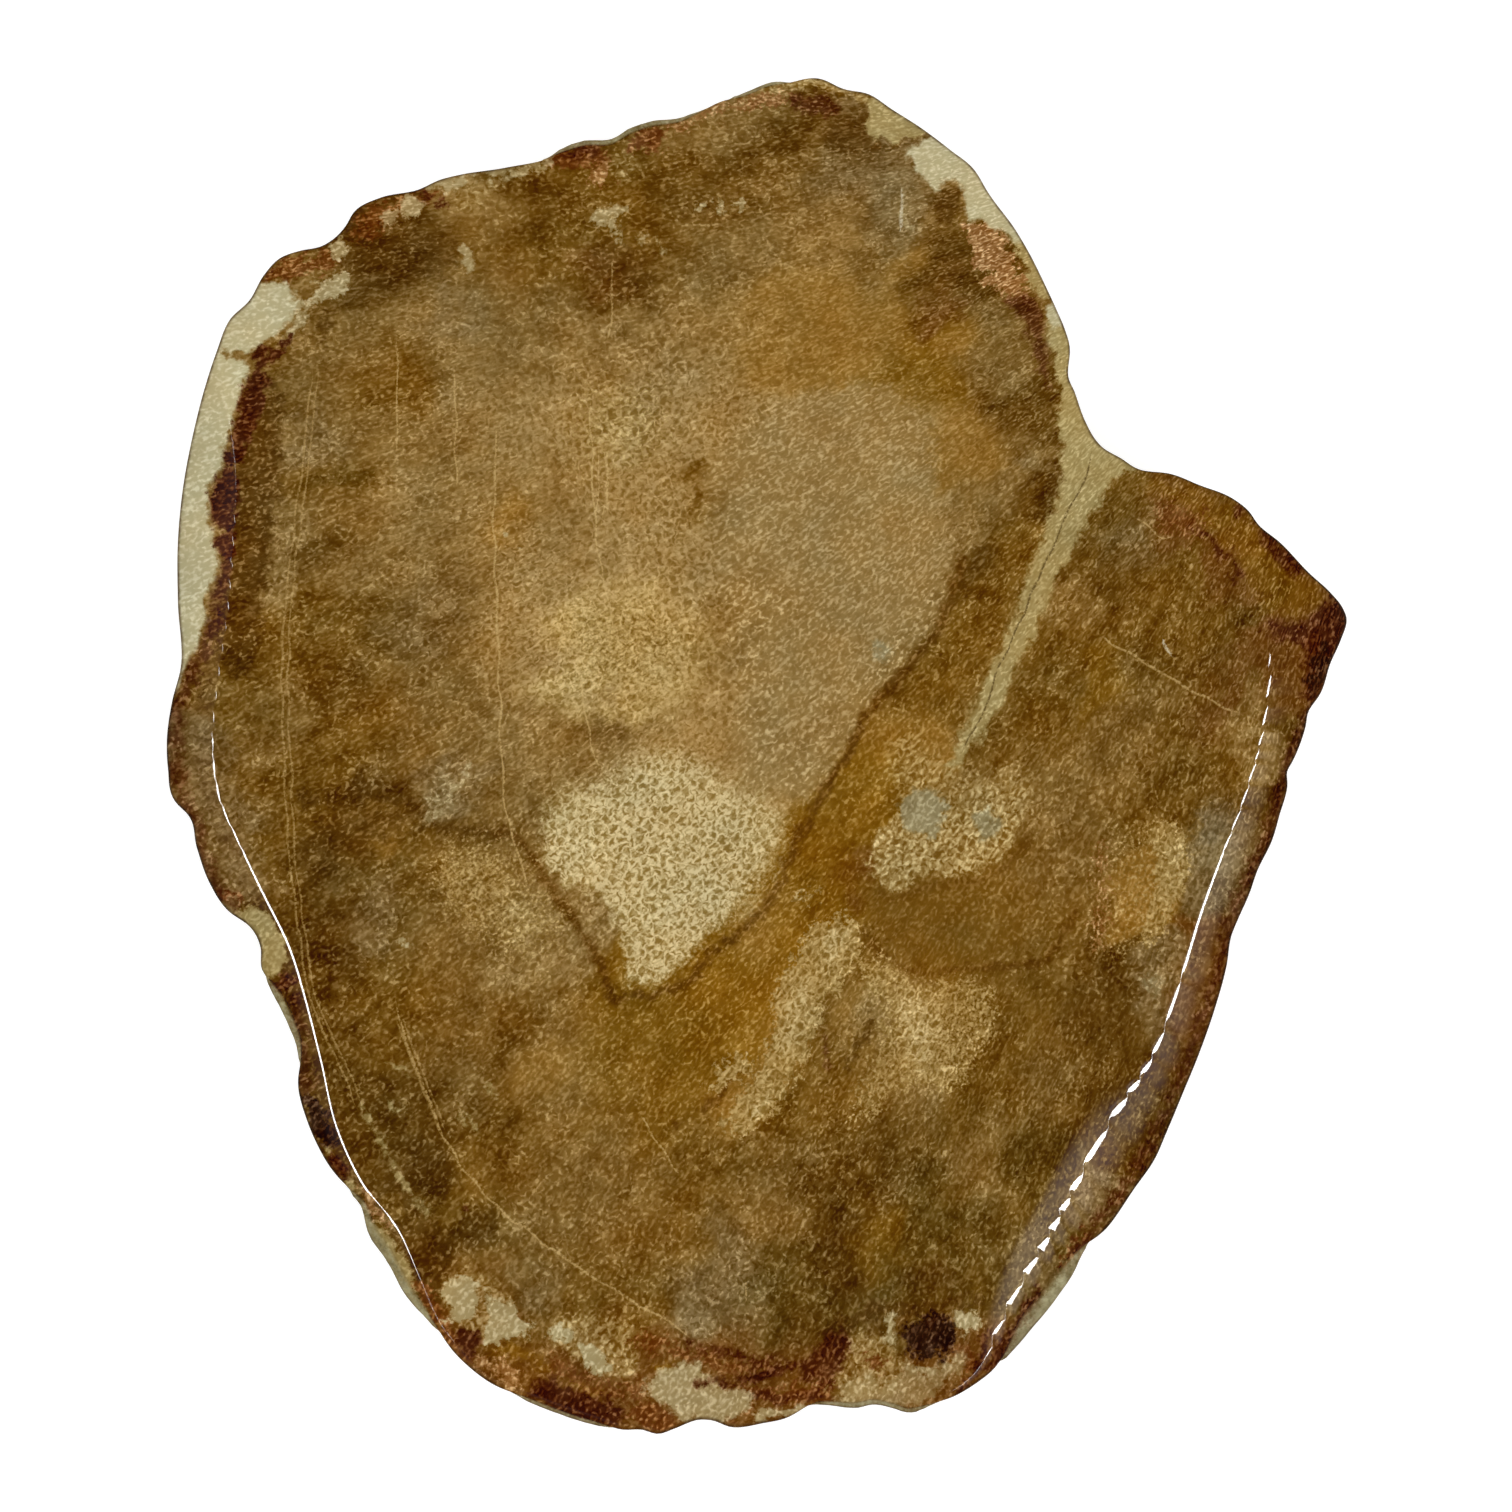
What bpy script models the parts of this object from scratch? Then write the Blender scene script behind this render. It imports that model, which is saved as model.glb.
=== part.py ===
"""Petrified wood slice: one flat slab of stone, sawn across a silicified trunk.

The slab lies on its sawn back with the polished face up, +Y towards the head of the slice.
Its edge follows the scalloped outside of the old trunk, with one shallow bay on the upper right.
A rounded, polished rim runs down the left side and down the right side. Elsewhere the flat face
reaches the edge, where the raw outer wood stands a little proud of it in places.

The slab is built from closed rings. Each ring is a radius for every direction about the middle
of the slab, and a height, so the whole shape is a function of a direction and of a step that
runs from the flat face, over the rim and down the wall, to the back.
"""

import math

import bmesh
import bpy
import numpy as np

WIDTH = 0.0985
LENGTH = 0.113
THICKNESS = 0.011

NODE_NAME = "petrified_wood_slice"
SEGMENTS = 240
MM = 0.001

# The outlines are points picked by eye on the view from above, in its pixels with y running
# down. Twelve pixels are one millimetre.
PIXELS_PER_METRE = 12000.0
MIDDLE_PX = (757.0, 756.0)

OUTLINE_PX = (
    (331, 240), (345, 226), (354, 211), (380, 197), (418, 189), (440, 179), (460, 174),
    (504, 167), (540, 157), (560, 146), (581, 138), (610, 135.5), (630, 124.5), (650, 118),
    (680, 114), (700, 106.5), (728, 95.5), (751, 87), (766, 80.5), (800, 77.5), (820, 78),
    (843, 88), (870, 94), (891, 108), (920, 126.5), (950, 149), (975, 170), (987, 190),
    (1016, 230), (1029, 252), (1044, 282), (1057, 310), (1065, 329), (1070, 349), (1068, 372),
    (1075, 392), (1085, 420), (1103, 447), (1120, 457), (1142, 469.5), (1170, 473),
    (1200, 484.5), (1231, 496.5), (1248, 509), (1260, 525), (1280, 541), (1311, 573),
    (1331, 591), (1344, 607), (1348, 618), (1342, 639), (1332, 661), (1320, 695), (1310, 709),
    (1306, 727), (1293, 761), (1288, 770), (1288, 785), (1280, 815), (1273, 839), (1258, 870),
    (1250, 893), (1238, 920), (1232, 935), (1227, 966), (1215.5, 1008), (1199, 1055),
    (1183, 1094), (1166, 1135), (1156, 1158), (1134, 1190), (1110, 1225), (1088, 1249.5),
    (1076, 1274), (1056, 1304), (1031, 1332), (1006, 1361), (979, 1381), (949, 1400),
    (925, 1411), (911, 1415), (892, 1410), (877, 1407), (856, 1410), (815, 1407.5),
    (784, 1419), (765, 1422.5), (730, 1426.5), (712, 1420), (698, 1419.5), (675, 1428),
    (659, 1433.5), (641, 1429.5), (620, 1431.5), (589, 1426), (549, 1413), (514, 1397),
    (484, 1378.5), (457, 1356), (430, 1327), (404, 1297), (385, 1263.5), (365, 1230.5),
    (361, 1214), (345, 1189), (323.5, 1157), (307, 1121.5), (297, 1084), (296, 1060),
    (282, 1018), (265, 984), (260, 972), (260, 947), (249, 926), (227.5, 910.5), (209, 883),
    (196, 847), (187, 814), (175, 802), (167, 767), (166, 740), (171.5, 700), (180, 667),
    (177, 601), (177, 538), (183, 480), (192, 434), (205.5, 383), (216, 352), (230, 318.5),
    (249, 300), (264, 274), (280.5, 257), (300, 250), (320, 246),
)

# Where the flat face ends and the polished rim starts to fall away.
LEFT_RIDGE_PX = (
    (220, 352), (223, 385), (228, 415), (233, 445), (236, 484), (233, 538), (227, 614),
    (217.5, 680), (212.5, 747), (220, 799), (240, 845), (263, 893), (289, 946), (306, 1001),
    (321, 1061), (336.5, 1127), (362, 1182), (399, 1231), (421, 1280), (440, 1322),
    (462, 1350),
)
RIGHT_RIDGE_PX = (
    (1160, 480), (1195, 500), (1220, 529), (1237, 562), (1252, 600), (1268, 645), (1265, 715),
    (1245, 795), (1222, 855), (1200, 915), (1182, 974), (1150, 1060), (1110, 1120),
    (1078, 1178), (1048, 1235), (1022, 1280), (999, 1326), (984, 1360),
)

RIDGE_END_GAP = math.radians(1.2)
EDGE_BREAK = 0.45 * MM
RIM_FALL = 0.62
RIM_START_SLOPE = 0.45
RIM_STEPS = (0.0, 0.14, 0.38, 0.64, 0.86, 1.0)

WALL_STEPS = (0.14, 0.32, 0.5, 0.68, 0.84, 0.95)
WALL_FULL_BY = 0.32
WALL_TAPER = 1.1 * MM
BACK_EDGE_BREAK = 0.5 * MM

# Stretches where the raw wall shows beyond the face: direction in degrees, half width in
# degrees, and how far it stands out.
PROUD_WALL = (
    (102.0, 8.0, 0.7 * MM), (89.5, 3.0, 0.5 * MM), (209.0, 5.0, 0.9 * MM),
    (234.0, 7.0, 1.1 * MM), (253.5, 5.0, 0.6 * MM), (280.0, 6.0, 0.7 * MM),
    (298.0, 5.5, 1.7 * MM),
)

# Upright ribs of the old trunk: number round the slab, phase in radians and height.
RIBS = ((23, 0.4, 0.40 * MM), (37, 1.9, 0.28 * MM), (57, 0.9, 0.14 * MM))
RIB_TWIST = 0.5

# Chips broken from the wall: direction in degrees, height up the wall from 0 to 1, width,
# share of the wall's height, and depth.
CHIPS = (
    (12.0, 0.35, 4.5 * MM, 0.26, 0.9 * MM), (38.0, 0.50, 5.0 * MM, 0.30, 1.0 * MM),
    (55.0, 0.28, 3.5 * MM, 0.22, 0.8 * MM), (74.0, 0.60, 4.0 * MM, 0.26, 0.8 * MM),
    (97.0, 0.30, 6.0 * MM, 0.24, 1.1 * MM), (118.0, 0.55, 4.0 * MM, 0.28, 0.9 * MM),
    (136.0, 0.32, 5.0 * MM, 0.25, 1.0 * MM), (161.0, 0.45, 4.0 * MM, 0.22, 0.7 * MM),
    (187.0, 0.30, 5.5 * MM, 0.24, 0.9 * MM), (216.0, 0.42, 4.0 * MM, 0.24, 0.8 * MM),
    (243.0, 0.30, 5.0 * MM, 0.25, 1.0 * MM), (266.0, 0.55, 4.5 * MM, 0.26, 0.9 * MM),
    (288.0, 0.28, 4.0 * MM, 0.22, 0.8 * MM), (311.0, 0.40, 5.0 * MM, 0.25, 0.9 * MM),
    (338.0, 0.30, 4.0 * MM, 0.22, 0.7 * MM),
)

STONE_COLOUR = (0.175, 0.095, 0.028, 1.0)
STONE_ROUGHNESS = 0.28
SHARP_ANGLE = math.radians(40.0)


def clear_scene():
    """Remove every object of the open file."""
    for old in list(bpy.data.objects):
        bpy.data.objects.remove(old, do_unlink=True)


def polar(points_px):
    """Directions, in rising order, and radii in metres of points picked on the view."""
    points = np.array(points_px, dtype=float)
    across = (points[:, 0] - MIDDLE_PX[0]) / PIXELS_PER_METRE
    up = (MIDDLE_PX[1] - points[:, 1]) / PIXELS_PER_METRE
    direction = np.arctan2(up, across) % math.tau
    order = np.argsort(direction)
    return direction[order], np.hypot(across, up)[order]


def smooth_closed(direction, known_direction, known_radius):
    """Radius in each direction on a smooth closed curve through the known points.

    Between two points the radius is a cubic. Its slope at each point is that of the parabola
    through the point and its two neighbours.
    """
    knots = np.concatenate((known_direction[-2:] - math.tau, known_direction,
                            known_direction[:2] + math.tau))
    radii = np.concatenate((known_radius[-2:], known_radius, known_radius[:2]))
    gap = np.diff(knots)
    rise = np.diff(radii) / gap
    slope = (gap[:-1] * rise[1:] + gap[1:] * rise[:-1]) / (gap[:-1] + gap[1:])
    knots, radii, gap = knots[1:-1], radii[1:-1], gap[1:-1]
    at = np.clip(np.searchsorted(knots, direction, side="right") - 1, 0, len(gap) - 1)
    span = gap[at]
    t = (direction - knots[at]) / span
    start, end = radii[at], radii[at + 1]
    curve_start = (2.0 * t ** 3 - 3.0 * t ** 2 + 1.0) * start
    curve_end = (3.0 * t ** 2 - 2.0 * t ** 3) * end
    lean_start = (t ** 3 - 2.0 * t ** 2 + t) * span * slope[at]
    lean_end = (t ** 3 - t ** 2) * span * slope[at + 1]
    return curve_start + curve_end + lean_start + lean_end


def turn_between(direction, centre):
    """Signed turn from a centre direction, between minus and plus half a turn."""
    return (direction - centre + math.pi) % math.tau - math.pi


def proud_wall(direction):
    """How far the raw wall stands beyond the face: a sum of smooth humps."""
    proud = np.zeros_like(direction)
    for centre, half_width, height in PROUD_WALL:
        turn = turn_between(direction, math.radians(centre)) / math.radians(half_width)
        proud += height * np.exp(-turn ** 4)
    return proud


def face_edge(direction, edge_radius):
    """Radius where the flat face ends and the rim starts.

    It is a smooth closed curve through the picked ridge points and, on the rest of the way
    round, through the outline's own points drawn in by the proud wall and the broken edge.
    """
    knot_direction, knot_radius = polar(OUTLINE_PX)
    knot_radius = knot_radius - proud_wall(knot_direction) - EDGE_BREAK
    for ridge_px in (LEFT_RIDGE_PX, RIGHT_RIDGE_PX):
        first, last = polar(ridge_px[:1])[0], polar(ridge_px[-1:])[0]
        span = turn_between(last, first)
        share = turn_between(knot_direction, first) / span
        margin = RIDGE_END_GAP / np.abs(span)
        outside = (share < -margin) | (share > 1.0 + margin)
        ridge_direction, ridge_radius = polar(ridge_px)
        knot_direction = np.concatenate((knot_direction[outside], ridge_direction))
        knot_radius = np.concatenate((knot_radius[outside], ridge_radius))
    order = np.argsort(knot_direction)
    face_radius = smooth_closed(direction, knot_direction[order], knot_radius[order])
    return np.minimum(face_radius, edge_radius - proud_wall(direction) - EDGE_BREAK)


def wall_relief(direction, step, edge_radius):
    """How far the wall lies inside the outline at one step, from 0 at the rim to 1 at the back.

    It is the sum of the taper, the upright ribs, which deepen away from the rim, and the chips.
    """
    away = min(step / WALL_FULL_BY, 1.0)
    relief = np.full_like(direction, WALL_TAPER * step ** 2)
    for count, phase, height in RIBS:
        relief += away * height * np.abs(np.sin(0.5 * count * direction + phase + RIB_TWIST * step))
    for centre, level, width, share, depth in CHIPS:
        sideways = turn_between(direction, math.radians(centre)) * edge_radius / width
        upwards = (1.0 - step - level) / share
        relief += depth * np.exp(-sideways ** 4 - upwards ** 2)
    return relief


def slab_rings():
    """All rings of the slab, from the flat face to the back, each a list of points."""
    direction = np.linspace(0.0, math.tau, SEGMENTS, endpoint=False)
    edge = smooth_closed(direction, *polar(OUTLINE_PX))
    proud = proud_wall(direction)
    ridge = face_edge(direction, edge)
    rim_width = edge - proud - ridge
    rim_drop = RIM_FALL * rim_width
    rings = []
    for step in RIM_STEPS:
        rounding = 1.0 - math.sqrt(1.0 - step ** 2)
        fall = RIM_START_SLOPE * step + (1.0 - RIM_START_SLOPE) * rounding
        rings.append((ridge + step * rim_width, THICKNESS - fall * rim_drop))
    rim_foot = THICKNESS - rim_drop
    for step in WALL_STEPS:
        hidden = 1.0 - min(step / WALL_FULL_BY, 1.0)
        radius = edge - proud * hidden ** 2 - wall_relief(direction, step, edge)
        rings.append((radius, rim_foot * (1.0 - step)))
    back = edge - wall_relief(direction, 1.0, edge) - BACK_EDGE_BREAK
    rings.append((back, np.zeros_like(direction)))
    return fit_to_size(direction, rings)


def fit_to_size(direction, rings):
    """Rings as points, centred on the origin and brought to the slab's width and length."""
    plan = [np.stack((radius * np.cos(direction), radius * np.sin(direction)), axis=1)
            for radius, _ in rings]
    everywhere = np.concatenate(plan)
    low, high = everywhere.min(axis=0), everywhere.max(axis=0)
    stretch = np.array((WIDTH, LENGTH)) / (high - low)
    points = []
    for flat, (_, height) in zip(plan, rings):
        placed = (flat - 0.5 * (low + high)) * stretch
        points.append(np.column_stack((placed, height)))
    return points


def build_slab(rings):
    """One closed mesh: a cap on the flat face, a band between each two rings, and the back."""
    mesh = bpy.data.meshes.new(NODE_NAME)
    shape = bmesh.new()
    loops = [[shape.verts.new(point) for point in ring] for ring in rings]
    shape.faces.new(loops[0])
    for upper, lower in zip(loops, loops[1:]):
        for here in range(SEGMENTS):
            there = (here + 1) % SEGMENTS
            shape.faces.new((upper[here], lower[here], lower[there], upper[there]))
    shape.faces.new(list(reversed(loops[-1])))
    bmesh.ops.triangulate(shape, faces=shape.faces[:])
    bmesh.ops.recalc_face_normals(shape, faces=shape.faces[:])
    shape.to_mesh(mesh)
    shape.free()
    mesh.shade_smooth()
    mesh.set_sharp_from_angle(angle=SHARP_ANGLE)
    slab = bpy.data.objects.new(NODE_NAME, mesh)
    bpy.context.scene.collection.objects.link(slab)
    return slab


def stone_material():
    """Polished brown silicified wood."""
    material = bpy.data.materials.new("petrified_wood")
    material.use_nodes = True
    surface = material.node_tree.nodes["Principled BSDF"]
    surface.inputs["Base Color"].default_value = STONE_COLOUR
    surface.inputs["Roughness"].default_value = STONE_ROUGHNESS
    surface.inputs["Metallic"].default_value = 0.0
    return material


def main():
    """Build the slab and dress it."""
    clear_scene()
    slab = build_slab(slab_rings())
    slab.data.materials.append(stone_material())


main()
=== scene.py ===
"""Looks of the petrified wood slice: one polished slab of stone, seen from straight above.

The slab is one closed mesh. Its face, rounded rims, raw wall and sawn back are worked out as
functions of a direction and a step, from the outline and the ridges that were picked on
the view. The colours of the wood are soft spots, stains and thin lines, each placed on
the view in its pixels. They are kept on the mesh as attributes, and the shader adds the pores,
the rays and the ragged edges.
"""

import logging
import math
from dataclasses import dataclass, field
from enum import Enum

import bpy
import numpy as np
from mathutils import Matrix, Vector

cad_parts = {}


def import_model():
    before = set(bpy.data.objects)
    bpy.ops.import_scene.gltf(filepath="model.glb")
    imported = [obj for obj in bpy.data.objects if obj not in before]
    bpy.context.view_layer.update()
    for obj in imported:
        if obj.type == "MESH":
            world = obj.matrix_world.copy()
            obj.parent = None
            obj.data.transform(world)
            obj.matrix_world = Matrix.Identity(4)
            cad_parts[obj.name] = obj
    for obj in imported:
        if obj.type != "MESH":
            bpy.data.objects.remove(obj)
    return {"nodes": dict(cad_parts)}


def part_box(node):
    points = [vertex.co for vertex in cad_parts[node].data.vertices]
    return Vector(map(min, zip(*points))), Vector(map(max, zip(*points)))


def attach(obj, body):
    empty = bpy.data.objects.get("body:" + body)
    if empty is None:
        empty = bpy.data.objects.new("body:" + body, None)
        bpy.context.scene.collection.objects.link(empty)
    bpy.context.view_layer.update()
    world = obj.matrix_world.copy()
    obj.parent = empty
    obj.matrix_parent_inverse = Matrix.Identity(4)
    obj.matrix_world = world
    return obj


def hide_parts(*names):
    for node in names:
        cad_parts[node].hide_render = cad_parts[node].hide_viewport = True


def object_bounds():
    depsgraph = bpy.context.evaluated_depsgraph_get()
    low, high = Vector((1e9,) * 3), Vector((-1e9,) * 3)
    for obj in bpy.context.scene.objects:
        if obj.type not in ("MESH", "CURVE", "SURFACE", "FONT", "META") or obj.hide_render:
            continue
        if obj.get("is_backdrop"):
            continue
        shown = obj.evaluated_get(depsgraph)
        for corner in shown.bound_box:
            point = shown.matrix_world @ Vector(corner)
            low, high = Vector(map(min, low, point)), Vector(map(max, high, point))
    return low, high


Array = np.ndarray
Points = tuple[tuple[float, float], ...]
Colour = tuple[float, float, float]
Socket = bpy.types.NodeSocket
Outputs = bpy.types.bpy_prop_collection
Feed = Socket | float | tuple[float, ...] | Array

NODE_NAME = "petrified_wood_slice"
BODY_NAME = "root"
# One millimetre in metres, and one pixel of the view in millimetres.
MM = 0.001
PX = 1.0 / 12.0

logger = logging.getLogger("petrified_wood_slice")


def screen(colour: Colour | Array) -> Array:
    """Screen colours of 0 to 255 steps as shares from 0 to 1, the scale all colours are mixed on."""
    return np.asarray(colour, dtype=float) / 255.0


@dataclass(frozen=True)
class ViewPlan:
    """The view from above, in its pixels with y running down, laid over the slab in metres.

    Attributes:
        middle: Where the slab's middle lies on the view.
        pixels_per_metre: Scale of the view.
    """

    middle: tuple[float, float] = (757.0, 756.0)
    pixels_per_metre: float = 12000.0

    def metres(self, points: Points | Array) -> Array:
        """Points of the view, one a row, as places on the slab in metres."""
        picked = np.asarray(points, dtype=float)
        return (picked - self.middle) * (1.0, -1.0) / self.pixels_per_metre

    def pixels(self, places: Array) -> Array:
        """Places on the slab in metres, one a row and any height ignored, as pixels."""
        return places[:, :2] * self.pixels_per_metre * (1.0, -1.0) + self.middle

    def polar(self, points: Points) -> tuple[Array, Array]:
        """Give picked points as directions about the slab's middle.

        Args:
            points: Points in pixels.

        Returns:
            The directions in rising order, and the radii in metres.
        """
        across, up = self.metres(points).T
        direction = np.arctan2(up, across) % math.tau
        order = np.argsort(direction)
        return direction[order], np.hypot(across, up)[order]


PLAN = ViewPlan()


@dataclass(frozen=True)
class Swell:
    """Smooth random field: a sum of sine waves of about one length in seeded directions.

    Attributes:
        length: Middling length of the waves.
        seed: Seed of their directions, lengths and phases.
        waves: How many there are.
    """

    length: float
    seed: int
    waves: int = 10

    def at(self, *places: Array) -> Array:
        """Value of the field: the waves' sines added and scaled to about -1 to 1.

        Args:
            *places: One array for each axis, in the unit of the length.

        Returns:
            The value at each place.
        """
        draw = np.random.default_rng(self.seed)
        total = np.zeros_like(places[0])
        for _ in range(self.waves):
            heading = draw.normal(size=len(places))
            heading /= np.linalg.norm(heading)
            pace = math.tau / (self.length * draw.uniform(0.7, 1.5))
            phase = draw.uniform(0.0, math.tau)
            along = sum(axis * share for axis, share in zip(places, heading))
            total += np.sin(along * pace + phase)
        return total / math.sqrt(self.waves)


def smooth_closed(direction: Array, known_direction: Array, known_radius: Array) -> Array:
    """Radius in each direction on a smooth closed curve through the known points.

    Between two points the radius is a cubic. Its slope at each point is that of the parabola
    through the point and its two neighbours.

    Args:
        direction: Directions to answer for, in radians from 0 to a full turn.
        known_direction: Directions of the known points, rising.
        known_radius: Radii of the known points.

    Returns:
        The radius in each direction.
    """
    knots = np.concatenate((known_direction[-2:] - math.tau, known_direction,
                            known_direction[:2] + math.tau))
    radii = np.concatenate((known_radius[-2:], known_radius, known_radius[:2]))
    gap = np.diff(knots)
    rise = np.diff(radii) / gap
    slope = (gap[:-1] * rise[1:] + gap[1:] * rise[:-1]) / (gap[:-1] + gap[1:])
    knots, radii, gap = knots[1:-1], radii[1:-1], gap[1:-1]
    at = np.clip(np.searchsorted(knots, direction, side="right") - 1, 0, len(gap) - 1)
    span = gap[at]
    t = (direction - knots[at]) / span
    ends = (2.0 * t ** 3 - 3.0 * t ** 2 + 1.0) * radii[at]
    ends += (3.0 * t ** 2 - 2.0 * t ** 3) * radii[at + 1]
    leans = (t ** 3 - 2.0 * t ** 2 + t) * slope[at] + (t ** 3 - t ** 2) * slope[at + 1]
    return ends + span * leans


def turn_between(direction: Array, centre: float | Array) -> Array:
    """Signed turn from a centre direction, between minus and plus half a turn."""
    return (direction - centre + math.pi) % math.tau - math.pi


def smooth_step(value: Array, low: float, high: float) -> Array:
    """Rise smoothly from 0 at low to 1 at high."""
    share = np.clip((value - low) / (high - low), 0.0, 1.0)
    return share * share * (3.0 - 2.0 * share)


# Outline and the two ridges where the flat face ends, picked on the view in pixels.
OUTLINE_PX: Points = (
    (331, 240), (345, 226), (354, 211), (380, 197), (418, 189), (440, 179), (460, 174),
    (504, 167), (540, 157), (560, 146), (581, 138), (610, 135.5), (630, 124.5), (650, 118),
    (680, 114), (700, 106.5), (728, 95.5), (751, 87), (766, 80.5), (800, 77.5), (820, 78),
    (843, 88), (870, 94), (891, 108), (920, 126.5), (950, 149), (975, 170), (987, 190),
    (1016, 230), (1029, 252), (1044, 282), (1057, 310), (1065, 329), (1070, 349), (1068, 372),
    (1075, 392), (1085, 420), (1103, 447), (1120, 457), (1142, 469.5), (1170, 473),
    (1200, 484.5), (1231, 496.5), (1248, 509), (1260, 525), (1280, 541), (1311, 573),
    (1331, 591), (1344, 607), (1348, 618), (1342, 639), (1332, 661), (1320, 695), (1310, 709),
    (1306, 727), (1293, 761), (1288, 770), (1288, 785), (1280, 815), (1273, 839), (1258, 870),
    (1250, 893), (1238, 920), (1232, 935), (1227, 966), (1215.5, 1008), (1199, 1055),
    (1183, 1094), (1166, 1135), (1156, 1158), (1134, 1190), (1110, 1225), (1088, 1249.5),
    (1076, 1274), (1056, 1304), (1031, 1332), (1006, 1361), (979, 1381), (949, 1400),
    (925, 1411), (911, 1415), (892, 1410), (877, 1407), (856, 1410), (815, 1407.5),
    (784, 1419), (765, 1422.5), (730, 1426.5), (712, 1420), (698, 1419.5), (675, 1428),
    (659, 1433.5), (641, 1429.5), (620, 1431.5), (589, 1426), (549, 1413), (514, 1397),
    (484, 1378.5), (457, 1356), (430, 1327), (404, 1297), (385, 1263.5), (365, 1230.5),
    (361, 1214), (345, 1189), (323.5, 1157), (307, 1121.5), (297, 1084), (296, 1060),
    (282, 1018), (265, 984), (260, 972), (260, 947), (249, 926), (227.5, 910.5), (209, 883),
    (196, 847), (187, 814), (175, 802), (167, 767), (166, 740), (171.5, 700), (180, 667),
    (177, 601), (177, 538), (183, 480), (192, 434), (205.5, 383), (216, 352), (230, 318.5),
    (249, 300), (264, 274), (280.5, 257), (300, 250), (320, 246),
)

LEFT_RIDGE_PX: Points = (
    (220, 352), (223, 385), (228, 415), (233, 445), (236, 484), (233, 538), (227, 614),
    (217.5, 680), (212.5, 747), (220, 799), (240, 845), (263, 893), (289, 946), (306, 1001),
    (321, 1061), (336.5, 1127), (362, 1182), (399, 1231), (421, 1280), (440, 1322),
    (462, 1350),
)

RIGHT_RIDGE_PX: Points = (
    (1160, 480), (1195, 500), (1220, 529), (1237, 562), (1252, 600), (1268, 645), (1265, 715),
    (1245, 795), (1222, 855), (1200, 915), (1182, 974), (1150, 1060), (1110, 1120),
    (1078, 1178), (1048, 1235), (1022, 1280), (999, 1326), (984, 1360),
)


@dataclass(frozen=True)
class Ripple:
    """Row of polished facets that makes a ridge wander in and out like saw teeth.

    Attributes:
        first: Direction in degrees where the row starts.
        last: Direction in degrees where it ends, clockwise from the first.
        pitch: Length of a tooth.
        start: How far a tooth wanders at the first direction.
        end: The same at the last direction.
        climb: Share of a tooth that drifts inwards; the rest jumps out again.
        growth: Power by which the wander goes from its start to its end.
        uneven: How far the teeth differ in length, in teeth.
        fade: Share of the row that each of its ends takes to fade.
        soft_from: Share of a tooth over which its crease broadens.
        soft_to: Share of a tooth where the crease starts to sharpen again.
        full_wander: Wander from which the crease is fully sharp between the teeth.
    """

    first: float
    last: float
    pitch: float
    start: float
    end: float
    climb: float = 0.78
    growth: float = 1.3
    uneven: float = 0.35
    fade: float = 0.04
    soft_from: float = 0.15
    soft_to: float = 0.6
    full_wander: float = 0.13 * MM

    def at(self, direction: Array, radius: Array) -> tuple[Array, Array]:
        """How far the ridge lies outside its own line, and how broad its crease is there.

        The way along the ridge, divided by the pitch, gives the place on a tooth. The offset
        falls evenly over the climb and rises smoothly over the rest. The crease is broad in
        the middle of the climb and sharp where the ridge jumps.

        Args:
            direction: Directions in radians.
            radius: Radius of the ridge in each direction.

        Returns:
            The offset in metres, and the crease's share from 0 to 1.
        """
        way = -turn_between(direction, math.radians(self.first))
        length = math.radians(self.first - self.last)
        share = way / length
        wander = self.start + (self.end - self.start) * np.clip(share, 0.0, 1.0) ** self.growth
        wobble = self.uneven * Swell(0.5, 7).at(direction * 2.0)
        tooth = (way * radius / self.pitch + wobble) % 1.0
        drift = 0.5 - tooth / self.climb
        jump = smooth_step(tooth, self.climb, 1.0) - 0.5
        offset = np.where(tooth < self.climb, drift, jump)
        window = smooth_step(share, 0.0, self.fade) * (1.0 - smooth_step(share, 1.0 - self.fade, 1.0))
        broad = smooth_step(tooth, 0.0, self.soft_from)
        broad *= 1.0 - smooth_step(tooth, self.soft_to, self.climb)
        depth = window * np.clip(wander / self.full_wander, 0.0, 1.0)
        return offset * wander * window, 1.0 - depth * (1.0 - broad)


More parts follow.
